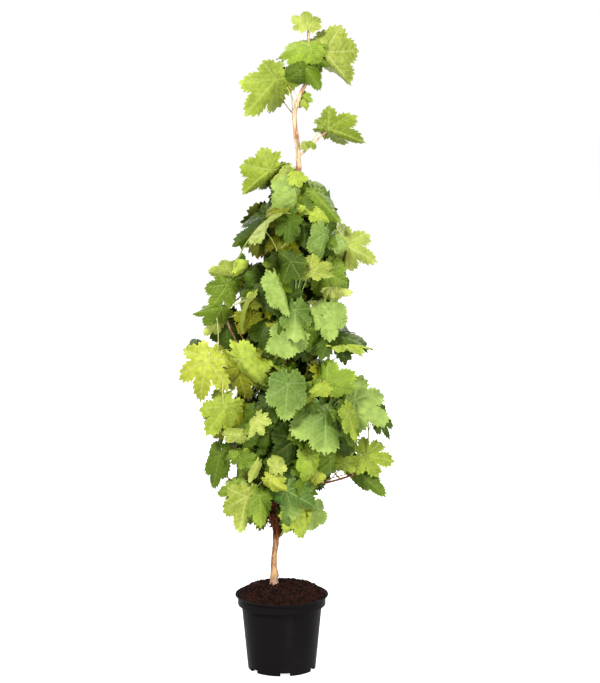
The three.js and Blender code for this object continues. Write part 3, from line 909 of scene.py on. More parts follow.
# the leaves that lead each spray: mass, place of the stalk's joint in its box (across, deep, up),
# length mm, heading, tint, and what is unlike the rest
leadLeaves = [
    ("12_tip", 0.42, 0.3, 0.36, 30, 182, "pale", {"wide": 1.35, "lobed": 0.5, "foldA": -12,
     "foldB": -12, "turn": 0, "lift": 20, "droop": 10, "backDroop": 60, "tone": 0.3}),
    ("12_tip", 0.35, 0.8, -0.55, 28, 200, "dark", {}),
    ("12_tip", 0.6, 0.6, -0.55, 26, 150, "fresh", {"foldA": 40}),
    ("12_right", 0.25, 0.45, 0.58, 84, 42, "pale", {"turn": 12, "lift": 10, "foldA": -84, "foldB": -6,
     "droop": 18, "lobed": 0.35, "wide": 1.08, "tone": 0.1, "close": 1}),
    ("12_left", 0.75, -0.2, 0.62, 78, -82, "green", {"turn": -6, "lift": 22, "foldA": -36, "foldB": -38,
     "droop": 16, "wide": 0.58, "lobed": 0.3, "tone": 1, "backDroop": 90}),
    ("12_left", 0.8, 0.1, 0.4, 38, 55, "deep", {"lift": 10, "tone": 1}),
    ("12_left", 0.8, 0.7, 0.25, 36, 10, "fresh", {"foldA": 50, "foldB": 50, "wide": 0.8}),
    ("11_left", 0.68, 0.4, 0.6, 86, -40, "fresh", {"turn": -6, "lift": 12, "foldA": -24, "foldB": -46,
     "droop": 16, "wide": 0.84, "lobed": 0.6, "tone": 0.3}),
    ("11_left", 0.92, 0.5, 0.62, 46, -100, "fresh", {"lift": 14, "tone": 0, "wide": 0.8,
     "backDroop": 90, "lobed": 0.4}),
    ("11_neck", 0.5, -0.15, 0.68, 46, 0, "deep", {"lift": 8, "foldA": -30, "foldB": -30, "wide": 1,
     "tone": 0.5, "backDroop": 80}),
    ("11_neck", 0.6, 0.1, 0.8, 46, 35, "deep", {"lobed": 0.2, "tone": 1, "wide": 0.7}),
    ("11_neck", 0.55, 0.35, -0.1, 20, 60, "green", {"lobed": 0.9}),
    ("11_neck", 0.55, 0.35, -0.35, 17, -70, "pale", {"wide": 0.6}),
    ("11_neck", 0.6, 0.35, -0.3, 19, 15, "fresh", {"wide": 0.5}),
    ("11_right", 0.27, 0.45, 0.42, 78, 72, "fresh", {"turn": 4, "lift": 20, "foldA": -84, "foldB": -12,
     "droop": 20, "lobed": 0.8, "wide": 0.8, "tone": 0, "backDroop": 100}),
    ("11_right", -0.2, 0.8, 0.05, 16, 90, "pale", {}),
    ("11_right", -0.05, 0.7, 0.05, 19, 60, "fresh", {"wide": 0.5}),
    ("10_left", 0.6, 0.45, 0.6, 74, -50, "fresh", {"turn": -10, "foldA": -12, "foldB": -56, "tone": 0.3,
     "lift": 12, "droop": 20, "wide": 0.9, "lobed": 0.5}),
    ("10_left", 0.95, 0.3, 0.5, 50, -40, "pale", {"turn": 0, "lift": 10, "wide": 0.4, "foldA": -6,
     "foldB": -6, "tone": 0}),
    ("10_collar", 0.6, -0.1, 0.75, 28, 85, "fresh", {"lift": 40, "tone": 0.8}),
    ("10_collar", 0.6, -0.1, 0.45, 68, -2, "bluish", {"foldA": -8, "foldB": -66, "lift": 15,
     "wide": 0.95, "turn": -8, "tone": 0.9, "lobed": 0.4}),
    ("10_collar", 0.85, 0.25, 0.38, 42, 10, "deep", {"lift": 15, "tone": 0.4}),
    ("09_right", 0.2, 0.2, 0.78, 80, 42, "green", {"turn": 6, "lift": 16, "droop": 20, "wide": 0.72,
     "tone": 0.3, "foldA": -40, "foldB": -44, "backDroop": 120}),
    ("09_right", 0.35, 0.15, 0.45, 46, 66, "fresh", {"lift": 20, "wide": 0.75, "lobed": 0.9, "tone": 1,
     "backDroop": 80}),
    ("09_centre", 0.75, 0.35, 0.45, 24, 80, "fresh", {"tone": 1}),
    ("09_left", 0.9, 0.1, 0.85, 55, -32, "dark", {"lift": 10, "wide": 0.6, "tone": 1, "foldA": -85,
     "foldB": -10}),
    ("09_left", 0.7, 0.15, 0.6, 82, -48, "dark", {"turn": -10, "lift": 16, "wide": 0.52, "foldA": -16,
     "foldB": -36, "droop": 16, "backDroop": 120, "tone": 0}),
    ("09_left", 0.66, -0.1, 0.56, 92, -47, "pale", {"roll": 76, "wide": 0.8, "backDroop": 110,
     "foldA": -4, "foldB": -8, "turn": 0, "droop": 14, "lobed": 0.3, "tone": 0}),
    ("09_centre", 0, 0.55, 0.3, 38, 10, "olive", {}),
    ("08_centre", 0.6, 0.6, 0.6, 48, -54, "olive", {"lift": 45}),
    ("09_centre", 0.35, 0, 0.05, 38, -5, "dark", {"lift": 30, "wide": 1, "tone": 1}),
    ("08_centre", 1.05, 0.6, 0.75, 38, 0, "dark", {}),
    ("08_right", 0.58, 0.2, 0.7, 54, -12, "bluish", {"turn": 6, "lift": 12, "wide": 0.72, "lobed": 0.3,
     "tone": 0.3, "foldA": -4, "foldB": -50}),
    ("08_right", 0.55, 0.45, 0.95, 36, 40, "deep", {"lift": 20}),
    ("08_right_tip", 0.2, 0.35, 0.48, 78, 64, "pale", {"turn": 8, "lift": 16, "droop": 16, "foldA": -42,
     "foldB": -22, "lobed": 0.8, "tone": 0.3}),
    ("08_right", 0.95, 0.55, 0.5, 28, 60, "bluish", {}),
    ("08_right_tip", 0.05, 0.85, 0.2, 36, 35, "olive", {}),
    ("07_centre", 0.36, 0.1, 0.66, 44, -18, "deep", {"lift": 22, "wide": 1.1, "tone": 0, "lobed": 0.4,
     "foldA": -10, "foldB": -10}),
    ("07_centre", 0.66, 0, 0.36, 36, 180, "pale", {"wide": 1.6, "lift": 10, "lobed": 0.8, "tone": 0,
     "foldA": -20, "foldB": -10}),
    ("06_right", -0.12, 0.3, 0.6, 36, -14, "emerald", {"wide": 0.7, "lift": 10}),
    ("06_right", 0.5, 0.15, 0.8, 62, 10, "green", {"lift": 15, "wide": 0.85}),
    ("06_right", 0.6, 0.05, 0.45, 38, 85, "pale", {"lift": 50}),
    ("06_centre", 0.85, 0.5, 0.5, 40, 10, "dark", {}),
    ("06_centre", 0.5, 0.2, 0.87, 68, 20, "bluish", {"lift": 14, "wide": 0.64, "lobed": 0.3,
     "tone": 0.9, "foldA": -12, "foldB": -62, "droop": 20}),
    ("07_left_tip", 0.5, 0.3, 0.35, 42, -98, "pale", {"roll": -40, "wide": 0.9, "tone": 0}),
    ("07_left_tip", 0.7, 0.3, 0.5, 40, 132, "fresh", {"roll": 40, "wide": 0.9, "tone": 1}),
    ("07_left_tip", 0.55, 0.6, 0.5, 36, 172, "dark", {"wide": 1.1}),
    ("07_left", 0.85, 0.35, 1, 36, -80, "dark", {"lift": 45}),
    ("07_left", 0.65, 0.15, 0.76, 48, -54, "dark", {"lift": 20, "tone": 1, "lobed": 0.9, "wide": 0.75,
     "backDroop": 110}),
    ("06_left_tip", 0.85, 0.4, 0.9, 50, -35, "green", {"tone": 0.2}),
    ("06_left_tip", 0.7, 0.25, 0.36, 56, -88, "deep", {"lift": 32, "wide": 0.8, "droop": 20,
     "lobed": 0.4, "tone": 1}),
    ("05_left", 0.3, 0.05, 1.07, 64, -28, "pale", {"roll": 76, "wide": 0.85, "turn": 0, "foldA": -4,
     "foldB": -4, "droop": 20, "lobed": 0.2, "tone": 0}),
    ("05_left", 0.45, 0.3, 1.1, 26, 0, "yellow", {}),
    ("05_centre", 0.55, 0.18, 1, 48, 0, "bluish", {"lift": 25, "wide": 1.05, "tone": 0.2}),
    ("05_centre", 0.5, 0.12, 0.55, 58, -60, "bluish", {"turn": -14, "lift": 22, "wide": 0.95,
     "tone": 0.8, "foldA": -8, "foldB": -8, "lobed": 0.2}),
    ("05_centre", 0.57, 0.16, 0.55, 54, 36, "green", {"turn": 16, "lift": 2, "wide": 0.95, "tone": 0,
     "foldA": -40, "foldB": -4, "lobed": 0.5}),
    ("05_centre", 0.8, 0.35, 0.66, 52, 30, "dark", {"turn": 16, "lift": 12, "tone": 1}),
    ("05_right", 0.48, 0.25, 0.8, 54, 2, "bluish", {"turn": 0, "lift": 16, "foldA": -22, "foldB": -16,
     "wide": 1.05, "droop": 20, "lobed": 0.4, "tone": 1, "backDroop": 30}),
    ("05_right_tip", 0.02, 0.45, 0.95, 80, 92, "dark", {"roll": -48, "lobed": 0.9, "tone": 0.6,
     "foldA": -12, "foldB": -12}),
    ("05_right_tip", 0.25, 0.3, 0.6, 66, 92, "fresh", {"roll": -58, "lobed": 0.9, "foldA": -10,
     "tone": 0.6, "foldB": -20, "droop": 16, "turn": 0, "wide": 0.9}),
    ("05_left", 0.85, 0, 0.65, 62, -25, "dark", {"foldA": -14, "foldB": -20}),
    ("05_left", 0.55, 0.1, 0.6, 32, -70, "olive", {"tone": 0}),
    ("05_left", 0.35, 0.2, 0.75, 44, -40, "olive", {}),
    ("05_left_tip", 0.6, 0.25, 0.95, 34, -40, "pale", {}),
    ("05_left_tip", 0.85, 0.45, 0.9, 60, 0, "dark", {}),
    ("04_left_tip", 0.35, 0.65, 0.9, 32, 215, "dark", {}),
    ("04_left_tip", 0.52, 0.1, 0.74, 86, -12, "yellow", {"turn": -4, "lift": 18, "foldA": -8,
     "foldB": -12, "backDroop": 80, "tone": 0.4, "droop": 18, "wide": 0.93, "lobed": 1.1,
     "close": 0.3}),
    ("04_left", 0.25, 0.2, 0.7, 82, 46, "fresh", {"turn": 4, "lift": 24, "foldA": -70, "foldB": -10,
     "droop": 24, "wide": 0.66, "lobed": 0.4, "tone": 0.6}),
    ("04_left", 0.15, 0.6, 0.55, 66, 18, "olive", {"wide": 0.9}),
    ("04_left", 0.2, 0.45, 0.55, 30, -25, "olive", {}),
    ("04_centre", 0.45, 0.13, 0.65, 64, -5, "bluish", {"turn": -2, "lift": 20, "foldA": -14,
     "foldB": -24, "wide": 0.9, "lobed": 0.25, "droop": 26, "tone": 0.2}),
    ("04_right", 0.5, 0.15, 0.2, 50, 180, "green", {"wide": 1.5, "lift": 14, "lobed": 0.3, "foldA": -10,
     "foldB": -24, "droop": 20, "backDroop": 80}),
    ("04_right", 0.42, 0, 0.22, 22, 20, "fresh", {"wide": 1.9, "lift": 26, "foldA": -10, "foldB": -10}),
    ("04_right", 0.3, 0.6, 0.2, 36, 0, "dark", {}),
    ("04_right_tip", 0.2, 0.3, 0.6, 84, 55, "bluish", {"turn": 4, "lift": 14, "droop": 22, "wide": 0.84,
     "foldA": -14, "foldB": -12, "tone": 1, "lobed": 0.85}),
    ("04_right_tip", 0.65, 0.6, 0.3, 52, 30, "dark", {"wide": 0.6}),
    ("03_right", 0.5, 0.37, 0.7, 66, 0, "bluish", {"turn": -2, "wide": 1.44, "lift": 20, "foldA": -8,
     "foldB": -32, "droop": 24, "lobed": 0.3, "tone": 0.2, "close": 0.9}),
    ("03_right", 0.8, 0.4, 0.72, 54, 16, "fresh", {"turn": 20, "wide": 0.5, "tone": 0.2}),
    ("03_left_tip", 0.55, 0.2, 0.72, 66, -34, "fresh", {"lift": 22, "foldA": -10, "foldB": -50,
     "tone": 0.5, "wide": 0.95, "lobed": 0.8}),
    ("03_left_tip", 0.7, 0.4, 0.6, 48, 20, "olive", {"lift": 12, "wide": 1}),
    ("03_left_tip", 0.3, 0.5, 0.45, 28, -50, "olive", {}),
    ("03_left_tip", 0.4, 0.6, 0.2, 30, -30, "olive", {}),
    ("03_left_tip", 0.8, 0.65, 0.3, 40, -70, "dark", {}),
    ("02_left", 0.4, 0.15, 1.1, 44, -100, "pale", {"wide": 0.6}),
    ("03_left", 0.5, 0.05, 0.75, 42, -30, "pale", {"lift": 16, "lobed": 1.1, "wide": 0.85,
     "close": 0.3}),
    ("03_left", 0.75, 0.55, 1.1, 48, -35, "dark", {}),
    ("03_left", 0.7, 0.4, 0.4, 46, -20, "dark", {"lobed": 0.9, "tone": 1}),
    ("02_left", 0.5, 0.2, 0.6, 34, 95, "green", {"lift": 30}),
    ("02_left", 0.4, 0.3, 0.6, 28, -95, "green", {}),
    ("02_left", 0.3, 0.7, 0.7, 32, -75, "dark", {}),
    ("02_left_tip", 0.75, 0.2, 0.9, 74, -14, "deep", {"turn": -14, "wide": 0.5, "foldA": -20,
     "foldB": -30, "tone": 0.6, "lift": 0, "droop": 12, "backDroop": 110}),
    ("02_left", 0.5, 0.15, 0.55, 38, 10, "deep", {"lift": 20, "lobed": 1}),
    ("02_left", 0.8, 0.05, 0.4, 30, -30, "pale", {"turn": 20, "wide": 0.5}),
    ("02_centre", 0.5, 0.1, 0.55, 34, 190, "pale", {"lift": 16, "lobed": 0.7, "wide": 0.8}),
    ("02_centre", 0.95, 0.5, 1.05, 72, 0, "dark", {}),
    ("01_left_tip", 0.9, 0.1, 0.5, 48, -85, "green", {"lift": 20, "wide": 0.95}),
    ("01_centre", -0.05, 0.1, 0.7, 38, 60, "yellow", {"lobed": 0.9, "wide": 0.85}),
    ("01_left", 0.4, 0.15, 0.66, 66, -10, "pale", {"turn": -4, "lift": 16, "foldA": -8, "foldB": -50,
     "droop": 22, "wide": 0.9, "lobed": 0.6, "tone": 0, "backDroop": 60}),
    ("01_left", 0.7, 0.3, 0.66, 50, -6, "green", {"tone": 0.3}),
    ("01_left", 0.7, 0.65, 0.25, 14, 20, "yellow", {}),
    ("01_left", 0.75, 0.6, 0.2, 13, -60, "yellow", {}),
    ("01_centre", 0.28, 0.15, 0.4, 70, 62, "bluish", {"lift": 20, "wide": 0.95, "tone": 0, "lobed": 0.9,
     "foldA": -44, "foldB": -10, "droop": 24}),
    ("01_centre", 0.15, 0.35, 0.25, 32, -20, "emerald", {}),
    ("01_low", 0.24, 0.1, 0.65, 46, 4, "bluish", {"turn": 20, "wide": 0.45}),
    ("01_low", 0.8, 0.65, 0.5, 42, 70, "bluish", {"lift": 20, "wide": 1.1, "tone": 1}),
    ("01_low", 0.5, 0.3, 0.5, 46, 16, "fresh", {"lobed": 0.7, "tone": 1, "wide": 1.1, "foldA": -10}),
    ("02_right", 0.3, 0, 0.9, 48, -15, "green", {"lift": 22, "tone": 1, "lobed": 0.4, "wide": 0.8}),
    ("02_right", 0.65, 0.2, 0.85, 44, 0, "green", {}),
    ("02_right", 0.4, 0.3, 0.35, 26, 30, "yellow", {}),
    ("02_right", 0.88, 0.15, 0.7, 34, 150, "fresh", {"lobed": 0.9}),
    ("02_right_tip", 0.5, 0.15, 0.7, 58, 80, "fresh", {"turn": 4, "lift": 20, "lobed": 1, "tone": 0.3,
     "wide": 0.94, "foldA": -16, "foldB": -8}),
    ("02_right_tip", 0.25, 0.5, 0.4, 78, 50, "deep", {"lift": 10, "droop": 20, "wide": 0.4, "lobed": 0,
     "foldA": -12, "foldB": -20}),
]

leadLook = {"length": 0.985, "wide": 0.95}    # of the measures in the rows

# the leaves between and behind the leading ones: room is the space in mm that one takes, size its
# length in mm, place where it stands between the near and the far side of its mass, and third
# where every third one does; heading and turn are spreads in degrees
smallLook = {"room": 31, "heading": 45, "turn": 22, "lift": (-5, 50)}
fillLook = {
    # the front tints are mostly dark: painted shade for the leaves deep inside the crown
    "front": {**smallLook, "size": (26, 46), "place": (0.7, 1.1), "third": (0.4, 0.62),
              "tints": ("deep", "dark", "olive", "deep", "green", "dark")},
    "back": {**smallLook, "size": (34, 56), "place": (0.1, 0.85), "third": (0.1, 0.85),
             "tints": ("deep", "green", "dark", "deep", "bluish", "olive")},
    "outside": {"room": 40, "heading": 38, "turn": 14, "lift": (4, 42), "size": (58, 86),
                "sunk": (0.125, 0.265),       # under the round surface, in depths of the mass
                "tries": 60,
                "tints": ("green", "fresh", "bluish", "pale", "green", "pale", "olive", "fresh",
                          "deep")},
    "none": ("10_left", "11_left", "11_neck", "11_right", "12_left", "12_right"),
    "joint": 0.35,    # from the stalk's joint to the middle of a blade, in its length
    "seed": 77,
}
twigLook = {
    "width": 1.5,          # half width, mm
    "shortest": 35,        # a mass nearer to its limb has no twig, mm
    "shortestTip": 75,     # the same for masses of one or two leaves
    "joints": 26, "sides": 8,
    "lowest": 300,         # no twig or stalk grows lower on the trunk, mm
}
stalkLook = {"width": 0.95, "length": 0.75}   # half width in mm, length in that of the blade


def limbPoints():
    # middle and radius along every limb that a twig or leaf stalk may grow from
    found = []
    for node in ("main_shoot", "high_right_limb", "left_limb", "low_right_limb", "side_arm", "trunk"):
        line, radius = limbLines[node]
        points = np.concatenate([line, radius[:, None]], 1)
        bearing = points[:, 2] > twigLook["lowest"] * mm if node == "trunk" else slice(2, -1)
        found.append(points[bearing])
    return np.concatenate(found)


bearers = limbPoints()


def growTwig(node, rng):
    # a side twig from the nearest limb out to the far part of the mass, rising and then nodding
    low, high = (np.array(corner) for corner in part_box(node))
    middle = (low + high) / 2
    middle[1] = low[1] + 0.3 * (high[1] - low[1]) if "back" in node else high[1] - 8 * mm
    away = middle - bearers[:, :3]
    away[:, 2] *= 0.8
    cost = np.linalg.norm(away, axis=1) + 0.7 * np.maximum(-away[:, 2] + 0.012, 0)
    start = bearers[cost.argmin()]
    reach = middle - start[:3]
    single = "tip" in node or node[7:9] in ("11", "12")
    if np.linalg.norm(reach) < twigLook["shortestTip" if single else "shortest"] * mm:
        return None
    inset = 0.3 * (high - low)
    end = np.clip(start[:3] + reach, low + inset, high - [0, 4 * mm, 0] - inset * [1, 0, 1])
    length = np.linalg.norm(end - start[:3])
    level = unit(np.array([reach[0], reach[1], 0.0]))
    bendA = start[:3] + (level * 0.3 + [0, 0, 0.22]) * length + rng.normal(0, 0.03, 3) * length
    bendB = end - (reach / np.linalg.norm(reach)) * 0.3 * length + rng.normal(0, 0.04, 3) * length
    count = max(10, int(length / (4 * mm)))
    path = bezier(start[:3], bendA, bendB, end, count)
    wide = min(twigLook["width"] * mm * (0.7 + length / 0.16), 0.85 * start[3])
    taper = np.linspace(wide, 0.55 * wide, count)
    beat = np.linspace(0, length / (twigLook["joints"] * mm), count) % 1
    twigHeap.put(*tube(path, taper * (1 + 0.22 * bell(beat, 0.5, 0.12)), twigLook["sides"]), node)
    return np.concatenate([path, taper[:, None]], 1)[count // 4:]


def growStalk(node, joint, tip, upper, size, skins, anchors, rng):
    # leaf stalk: leaves its bearer outwards and comes to the blade from below and behind
    away = joint - anchors[:, :3]
    far = np.linalg.norm(away, axis=1)
    ideal = stalkLook["length"] * size * mm
    below = np.maximum(-away[:, 2], 0)
    cost = np.abs(far - ideal) + 0.8 * np.maximum(far - 1.6 * ideal, 0) + 0.5 * below
    start = anchors[cost.argmin()]
    length = np.linalg.norm(joint - start[:3])
    out = unit(joint - start[:3])
    bendA = start[:3] + (0.35 * out + [0, 0, 0.12]) * length + rng.normal(0, 0.03, 3) * length
    bendB = joint - (0.32 * tip + 0.3 * upper) * min(length, 0.06)
    wide = stalkLook["width"] * mm * (0.55 + 0.45 * size / 60)
    count = 6 * skins
    path = bezier(start[:3], bendA, bendB, joint - upper * 0.5 * wide, count)
    along = np.linspace(0, 1, count)
    skin = wide * (1 + 0.5 * bell(along, 0, 0.07) + 0.25 * bell(along, 1, 0.06))
    stalkHeap.put(*tube(path, skin, 2 + 2 * skins), node)


def growLeaf(node, joint, leaf, look, anchors, rng):
    # one blade on its stalk. The length given is the one that is seen from the front, so a blade
    # that leans away is made longer.
    across, tip, upper = leafAxes(leaf)
    seen = max(math.hypot(tip[0], tip[2]), 0.55) if leaf["lead"] else 1
    seen /= 1 + 0.0012 * leaf["droop"]
    leaf["size"] = leaf["length"] / seen
    leaf["wide"] *= seen
    points, quads, tris, quadSlots, triSlots, rim, layers = leafMesh(look, leaf, rng)
    turned = points @ np.stack([across, tip, upper]) * leaf["size"] * mm + joint
    leafHeaps[leaf["tint"]].put(turned, quads, tris, node, quadSlots, triSlots, rim, **layers)
    growStalk(node, joint, tip, upper, leaf["size"], look["skins"], anchors, rng)


leafRanges = {
    "turn": (-28, 28), "lift": (5, 36),          # degrees, as the angles below
    "wide": (0.86, 1.04),
    "foldA": (-52, 2), "foldB": (-52, 2),        # of the two halves, below zero is away
    "cup": (-0.14, 0.04),
    "droop": (16, 66), "backDroop": (0, 50),     # of the tip and of the two lobes by the stalk
    "close": (0.6, 1.05),                        # how far the lobes lean together
    "lobed": (0.2, 0.9),
    "tone": (0, 1),                              # between the two shades of its tint
}


def newLeaf(rng, length, heading, tint, **unlike):
    # the measures of a leaf, drawn at random where they aren't given
    leaf = {"length": length, "heading": heading, "tint": tint, "lead": True, "roll": 0}
    drawn = {name: rng.uniform(*ends) for name, ends in leafRanges.items()}
    return {**leaf, **drawn, **unlike}


def growLeaders(anchors):
    # each row's random measures depend on its mass and its number there, and on no other row
    grown = dict.fromkeys((row[0] for row in leadLeaves), 0)
    for mass, across, deep, up, length, heading, tint, unlike in leadLeaves:
        grown[mass] += 1
        node = "leaves_" + mass
        rng = np.random.default_rng([sorted(anchors).index(node), grown[mass]])
        low, high = (np.array(corner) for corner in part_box(node))
        joint = low + (high - low) * [across, deep, up]
        leaf = newLeaf(rng, leadLook["length"] * length, heading, tint, **unlike)
        leaf["wide"] *= leadLook["wide"]
        growLeaf(node, joint, leaf, bladeLook, anchors[node], rng)


def shootAt(height):
    # where the main shoot stands at a height
    line = limbLines["main_shoot"][0]
    return np.array([np.interp(height, line[:, 2], line[:, k]) for k in (0, 1)])


# places where the crown is open from front to back: across and up on the stem's plane and radius
openings = np.array([
    (100, 985, 12), (-90, 950, 10), (80, 1210, 14), (50, 1170, 10), (10, 1155, 14), (55, 1125, 22),
    (15, 1040, 18), (-40, 960, 12), (-15, 970, 8), (-50, 860, 16), (-60, 825, 16), (-35, 840, 12),
    (65, 745, 16), (-150, 680, 20), (125, 700, 14), (85, 650, 22), (95, 680, 12), (130, 635, 16),
    (-100, 580, 14), (-125, 575, 10), (-45, 560, 14), (-10, 485, 8), (205, 480, 14),
    (-120, 470, 18), (-110, 405, 14), (125, 410, 10), (195, 395, 12), (-105, 350, 14), (45, 925, 8),
    (45, 990, 8), (-55, 715, 8), (-60, 955, 20), (165, 470, 10), (75, 990, 12), (80, 360, 14),
    (-40, 565, 10), (120, 755, 12), (155, 380, 12), (-75, 1020, 8), (160, 895, 8), (-30, 290, 12),
    (145, 600, 10), (-95, 585, 10), (-90, 880, 10)]) * mm
# places where the stem or the leaf stalks show, so that only the leaves behind the stem fill them
windows = np.array([
    (35, 860, 14), (30, 785, 20), (15, 655, 10), (-70, 670, 16), (-15, 880, 12), (-80, 590, 14),
    (-130, 690, 12), (-70, 435, 14), (-10, 560, 12), (20, 470, 10)]) * mm
eye = np.array([0.037, -4.0, 1.244])    # where somebody stands in front


def isOpen(middle, radius, places):
    # is a disc here in the way of one of these places, for somebody who stands at "eye"?
    seen = eye + (middle - eye) * (-eye[1] / (middle[1] - eye[1]))
    return (np.hypot(places[:, 0] - seen[0], places[:, 1] - seen[2]) < places[:, 2] + radius).any()


def growSmall(node, anchors, rng):
    # small leaves inside a mass. In front masses they sit deep behind the leading leaves, in dark
    # tints that paint the shade there, and every third one further forward.
    low, high = (np.array(corner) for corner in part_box(node))
    look = fillLook["back" if "back" in node else "front"]
    count = int(round(np.prod(high - low) / (look["room"] * mm) ** 3)) + 3
    for k in range(count):
        length = rng.uniform(*look["size"])
        margin = np.minimum(0.55 * length * mm, 0.46 * (high - low))
        middle = rng.uniform(low + margin, high - margin)
        near, far = look["place" if k % 3 else "third"]
        middle[1] = low[1] + max((high[1] - low[1]) * rng.uniform(near, far), 0.7 * length * mm)
        inWindow = middle[1] < 10 * mm and isOpen(middle, 0.3 * length * mm, windows)
        if inWindow or isOpen(middle, 0.48 * length * mm, openings):
            continue
        off = middle[:2] - shootAt(middle[2])
        turn = np.clip(off[0] / mm * 0.5, -45, 45)
        if "back" in node:
            turn = math.degrees(math.atan2(off[0], -off[1]))
        heading = rng.normal(0, look["heading"])
        tint = look["tints"][rng.integers(len(look["tints"]))]
        turn += rng.normal(0, look["turn"])
        lift = rng.uniform(*look["lift"])
        leaf = newLeaf(rng, length, heading, tint, lead=False, turn=turn, lift=lift)
        joint = middle - fillLook["joint"] * leafAxes(leaf)[1] * length * mm
        growLeaf(node, joint, leaf, smallBlade, anchors, rng)


def growOutside(node, anchors, rng):
    # the large leaves that cover a back mass. Each stands where it is furthest from those before
    # it, on a round surface about the stem, looks outwards and hangs over the ones below.
    low, high = (np.array(corner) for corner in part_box(node))
    look = fillLook["outside"]
    count = int(round((high - low)[0] * (high - low)[2] / (look["room"] * mm) ** 2)) + 1
    tries = look["tries"]
    placed = np.full((1, 3), -1.0)    # far below them all
    for _ in range(count):
        length = rng.uniform(*look["size"])
        part = rng.uniform(0.04, 0.96, (tries, 2))
        bulge = 0.25 + 0.75 * np.sqrt(1 - 0.9 * (2 * part[:, 0] - 1) ** 2)
        deep = bulge - rng.uniform(*look["sunk"], tries)
        middles = low + (high - low) * np.stack([part[:, 0], deep, part[:, 1]], 1)
        gap = np.linalg.norm(middles[:, None] - placed, axis=2).min(1)
        gap[[isOpen(middle, 0.46 * length * mm, openings) for middle in middles]] = 0
        if gap.max() == 0:
            continue
        middle = middles[gap.argmax()]
        middle[1] = min(middle[1], high[1] - 0.42 * length * mm)
        placed = np.concatenate([placed, [middle]])
        off = middle[:2] - shootAt(middle[2])
        turn = math.degrees(math.atan2(off[0], -off[1])) + rng.normal(0, look["turn"])
        heading = rng.normal(0, look["heading"])
        tint = look["tints"][rng.integers(len(look["tints"]))]
        lift = rng.uniform(*look["lift"])
        leaf = newLeaf(rng, length, heading, tint, lead=False, turn=turn, lift=lift)
        joint = middle - fillLook["joint"] * leafAxes(leaf)[1] * length * mm
        growLeaf(node, joint, leaf, bladeLook, anchors, rng)


# stalks and shoots that show between the leaves: from, to, sag and half width in mm, and kind
showing = [
    ((-4, -8, 1170), (21, 0, 1130), -3, 0.9, "twig"),
    ((16, -6, 1185), (22, -2, 1134), 2, 0.5, "twig"),
    ((16, -6, 1180), (36, -2, 1152), 3, 0.45, "stalk"),
    ((-92, -30, 717), (-64, -26, 667), -4, 1.2, "twig"),
    ((-64, -26, 667), (-74, -20, 640), 2, 1.2, "twig"),
    ((-88, -30, 626), (-73, -34, 562), 6, 1.2, "twig"),
    ((-6, -20, 862), (-50, -24, 845), 3, 1.1, "twig"),
    ((-31, -62, 900), (-8, -52, 859), 4, 0.9, "stalk"),
    ((31, -55, 903), (-6, -50, 860), 2, 0.85, "stalk"),
    ((119, -22, 653), (78, -6, 615), 2, 0.9, "stalk"),
    ((-128, -34, 725), (-127, -30, 655), 3, 0.9, "stalk"),
    ((-116, -46, 598), (-112, -40, 538), -3, 1.0, "stalk"),
    ((15, -50, 815), (24, -44, 757), -3, 1.0, "stalk"),
    ((29, -52, 815), (25, -46, 757), 2, 0.9, "stalk"),
    ((50, -48, 806), (26, -46, 755), 4, 0.9, "stalk"),
    ((39, -54, 818), (25, -48, 758), 3, 0.8, "stalk"),
    ((24, -46, 760), (22, -8, 700), 2, 1.4, "twig"),
    ((81, -16, 393), (142, -32, 412), -4, 0.9, "twig"),
    ((8, -34, 690), (16, -28, 640), 2, 1.3, "twig"),
    ((-98, -40, 470), (-84, -30, 440), 2, 0.8, "twig"),
]


def growShowing():
    # each of them is put down to the mass whose middle is nearest
    masses = sorted(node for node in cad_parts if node.startswith("leaves_"))
    middles = np.array([sum(np.array(corner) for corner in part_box(node)) / 2 for node in masses])
    along = np.linspace(0, 1, 12)
    for start, end, sag, wide, kind in showing:
        start, end = np.array(start) * mm, np.array(end) * mm
        side = np.array([1.0, 0, 0.4]) * sag * mm
        nearStart = start * 0.67 + end * 0.33 + side
        nearEnd = start * 0.33 + end * 0.67 + side
        path = bezier(start, nearStart, nearEnd, end, 12)
        skin = wide * mm * (0.9 + 0.25 * along + 0.3 * bell(along, 0.95, 0.06))
        node = masses[np.linalg.norm(middles - (start + end) / 2, axis=1).argmin()]
        heap = twigHeap if kind == "twig" else stalkHeap
        heap.put(*tube(path, skin, 7), node)


def growCrown():
    # twigs first, then the leading leaves, then the small ones and the outside of the back, so
    # that every leaf finds a limb or twig to hang on
    rng = np.random.default_rng(fillLook["seed"])
    growShowing()
    masses = sorted(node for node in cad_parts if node.startswith("leaves_"))
    anchors = {}
    for node in masses:
        twig = growTwig(node, rng)
        anchors[node] = bearers if twig is None else np.concatenate([bearers, twig])
    growLeaders(anchors)
    for index, node in enumerate(masses):
        if "tip" not in node and node[7:] not in fillLook["none"]:
            growSmall(node, anchors[node], np.random.default_rng([fillLook["seed"], index]))
        if "back" in node:
            growOutside(node, anchors[node], np.random.default_rng([fillLook["seed"], 9, index]))


growCrown()
for tint, heap in leafHeaps.items():
    heap.build("leaves_" + tint, leafSkins[tint], "foliage")
stalkHeap.build("leaf_stalks", [stalkSkin], "foliage")
twigHeap.build("twigs", [twigBark], "green_wood")
print("crown made")


studioLook = {
    "floor": (0.35, 0.86),       # grey of the paper, and how strongly it glows
    "backdrop": (0.0, 1.0),
    "sky": 0.37,
    "exposure": 0.0,
    # place, what it is aimed at, size, power
    "lamps": {"key": ((-2.3, -3.2, 4.9), (0, 0, 0.6), 1.3, 625),
              "side": ((2.6, -3.2, 1.3), (0, 0, 0.5), 1.8, 175),
              "backLeft": ((-2.6, 3.4, 4.0), (0, 0, 0.6), 1.8, 240),
              "backRight": ((2.8, 3.0, 3.6), (0, 0, 0.6), 1.8, 240)},
    "camera": (0.0372, -4.0, 1.244), "tilt": 8.12, "lens": 106.26,   # tilt in degrees below level
}


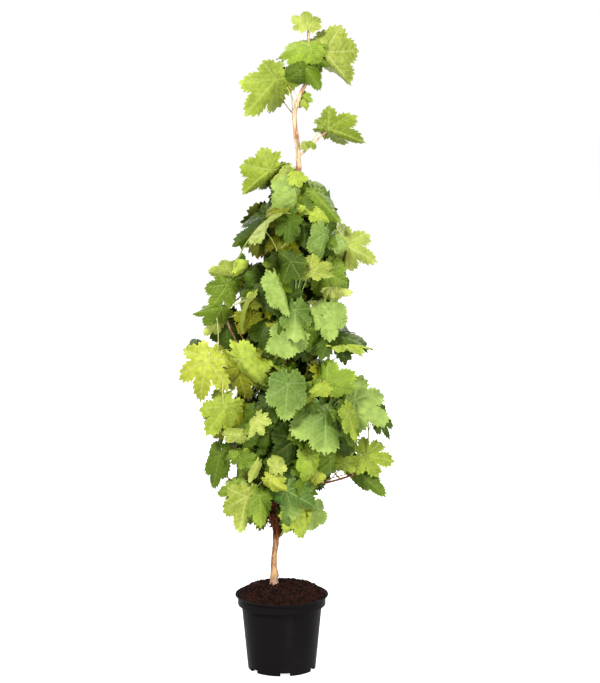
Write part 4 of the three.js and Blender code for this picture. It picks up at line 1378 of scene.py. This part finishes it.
def whiteCard(name, grey, glow):
    # plain paper that glows a little
    fixed = {"Roughness": 0.9, "Specular IOR Level": 0.1, "Base Color": (grey, grey, grey, 1),
             "Emission Color": (1, 1, 1, 1), "Emission Strength": glow}
    return newMaterial(name, fixed)[0]


def makeFloor():
    # a wide sheet of pale paper
    bpy.ops.mesh.primitive_plane_add(size=60, location=(0, 0, 0))
    floor = bpy.context.object
    floor.name = "floor"
    floor.data.materials.append(whiteCard("floor paper", *studioLook["floor"]))


def makeBackdrop():
    # a white dome that is only looked at: it throws no light on the plant
    bpy.ops.mesh.primitive_uv_sphere_add(segments=48, ring_count=24, radius=29)
    dome = bpy.context.object
    dome.name = "backdrop"
    dome.data.materials.append(whiteCard("backdrop paper", *studioLook["backdrop"]))
    dome.visible_diffuse = False
    dome.visible_glossy = False
    dome.visible_transmission = False
    dome.visible_shadow = False


def addLight(name, place, aim, size, power):
    # a round soft lamp that looks at its aim
    data = bpy.data.lights.new(name, "AREA")
    data.shape = "DISK"
    data.size = size
    data.energy = power
    light = bpy.data.objects.new(name, data)
    bpy.context.scene.collection.objects.link(light)
    light.location = place
    direction = np.array(aim) - np.array(place)
    yaw = math.atan2(direction[0], -direction[1])
    pitch = math.atan2(-direction[2], math.hypot(direction[0], direction[1]))
    light.rotation_euler = (math.pi / 2 - pitch, 0, yaw + math.pi)


makeFloor()
makeBackdrop()
for name, lamp in studioLook["lamps"].items():
    addLight(name, *lamp)
scene = bpy.context.scene
scene.world = bpy.data.worlds.new("studio")
scene.world.use_nodes = True
sky = scene.world.node_tree.nodes["Background"]
sky.inputs["Color"].default_value = (1, 1, 1, 1)
sky.inputs["Strength"].default_value = studioLook["sky"]
scene.view_settings.view_transform = "Standard"
scene.view_settings.exposure = studioLook["exposure"]
print("studio made")

camera = bpy.data.objects.new("camera", bpy.data.cameras.new("camera"))
scene.collection.objects.link(camera)
camera.location = studioLook["camera"]
camera.rotation_euler = (math.radians(90 - studioLook["tilt"]), 0, 0)
camera.data.lens = studioLook["lens"]
camera.data.clip_end = 60
scene.camera = camera
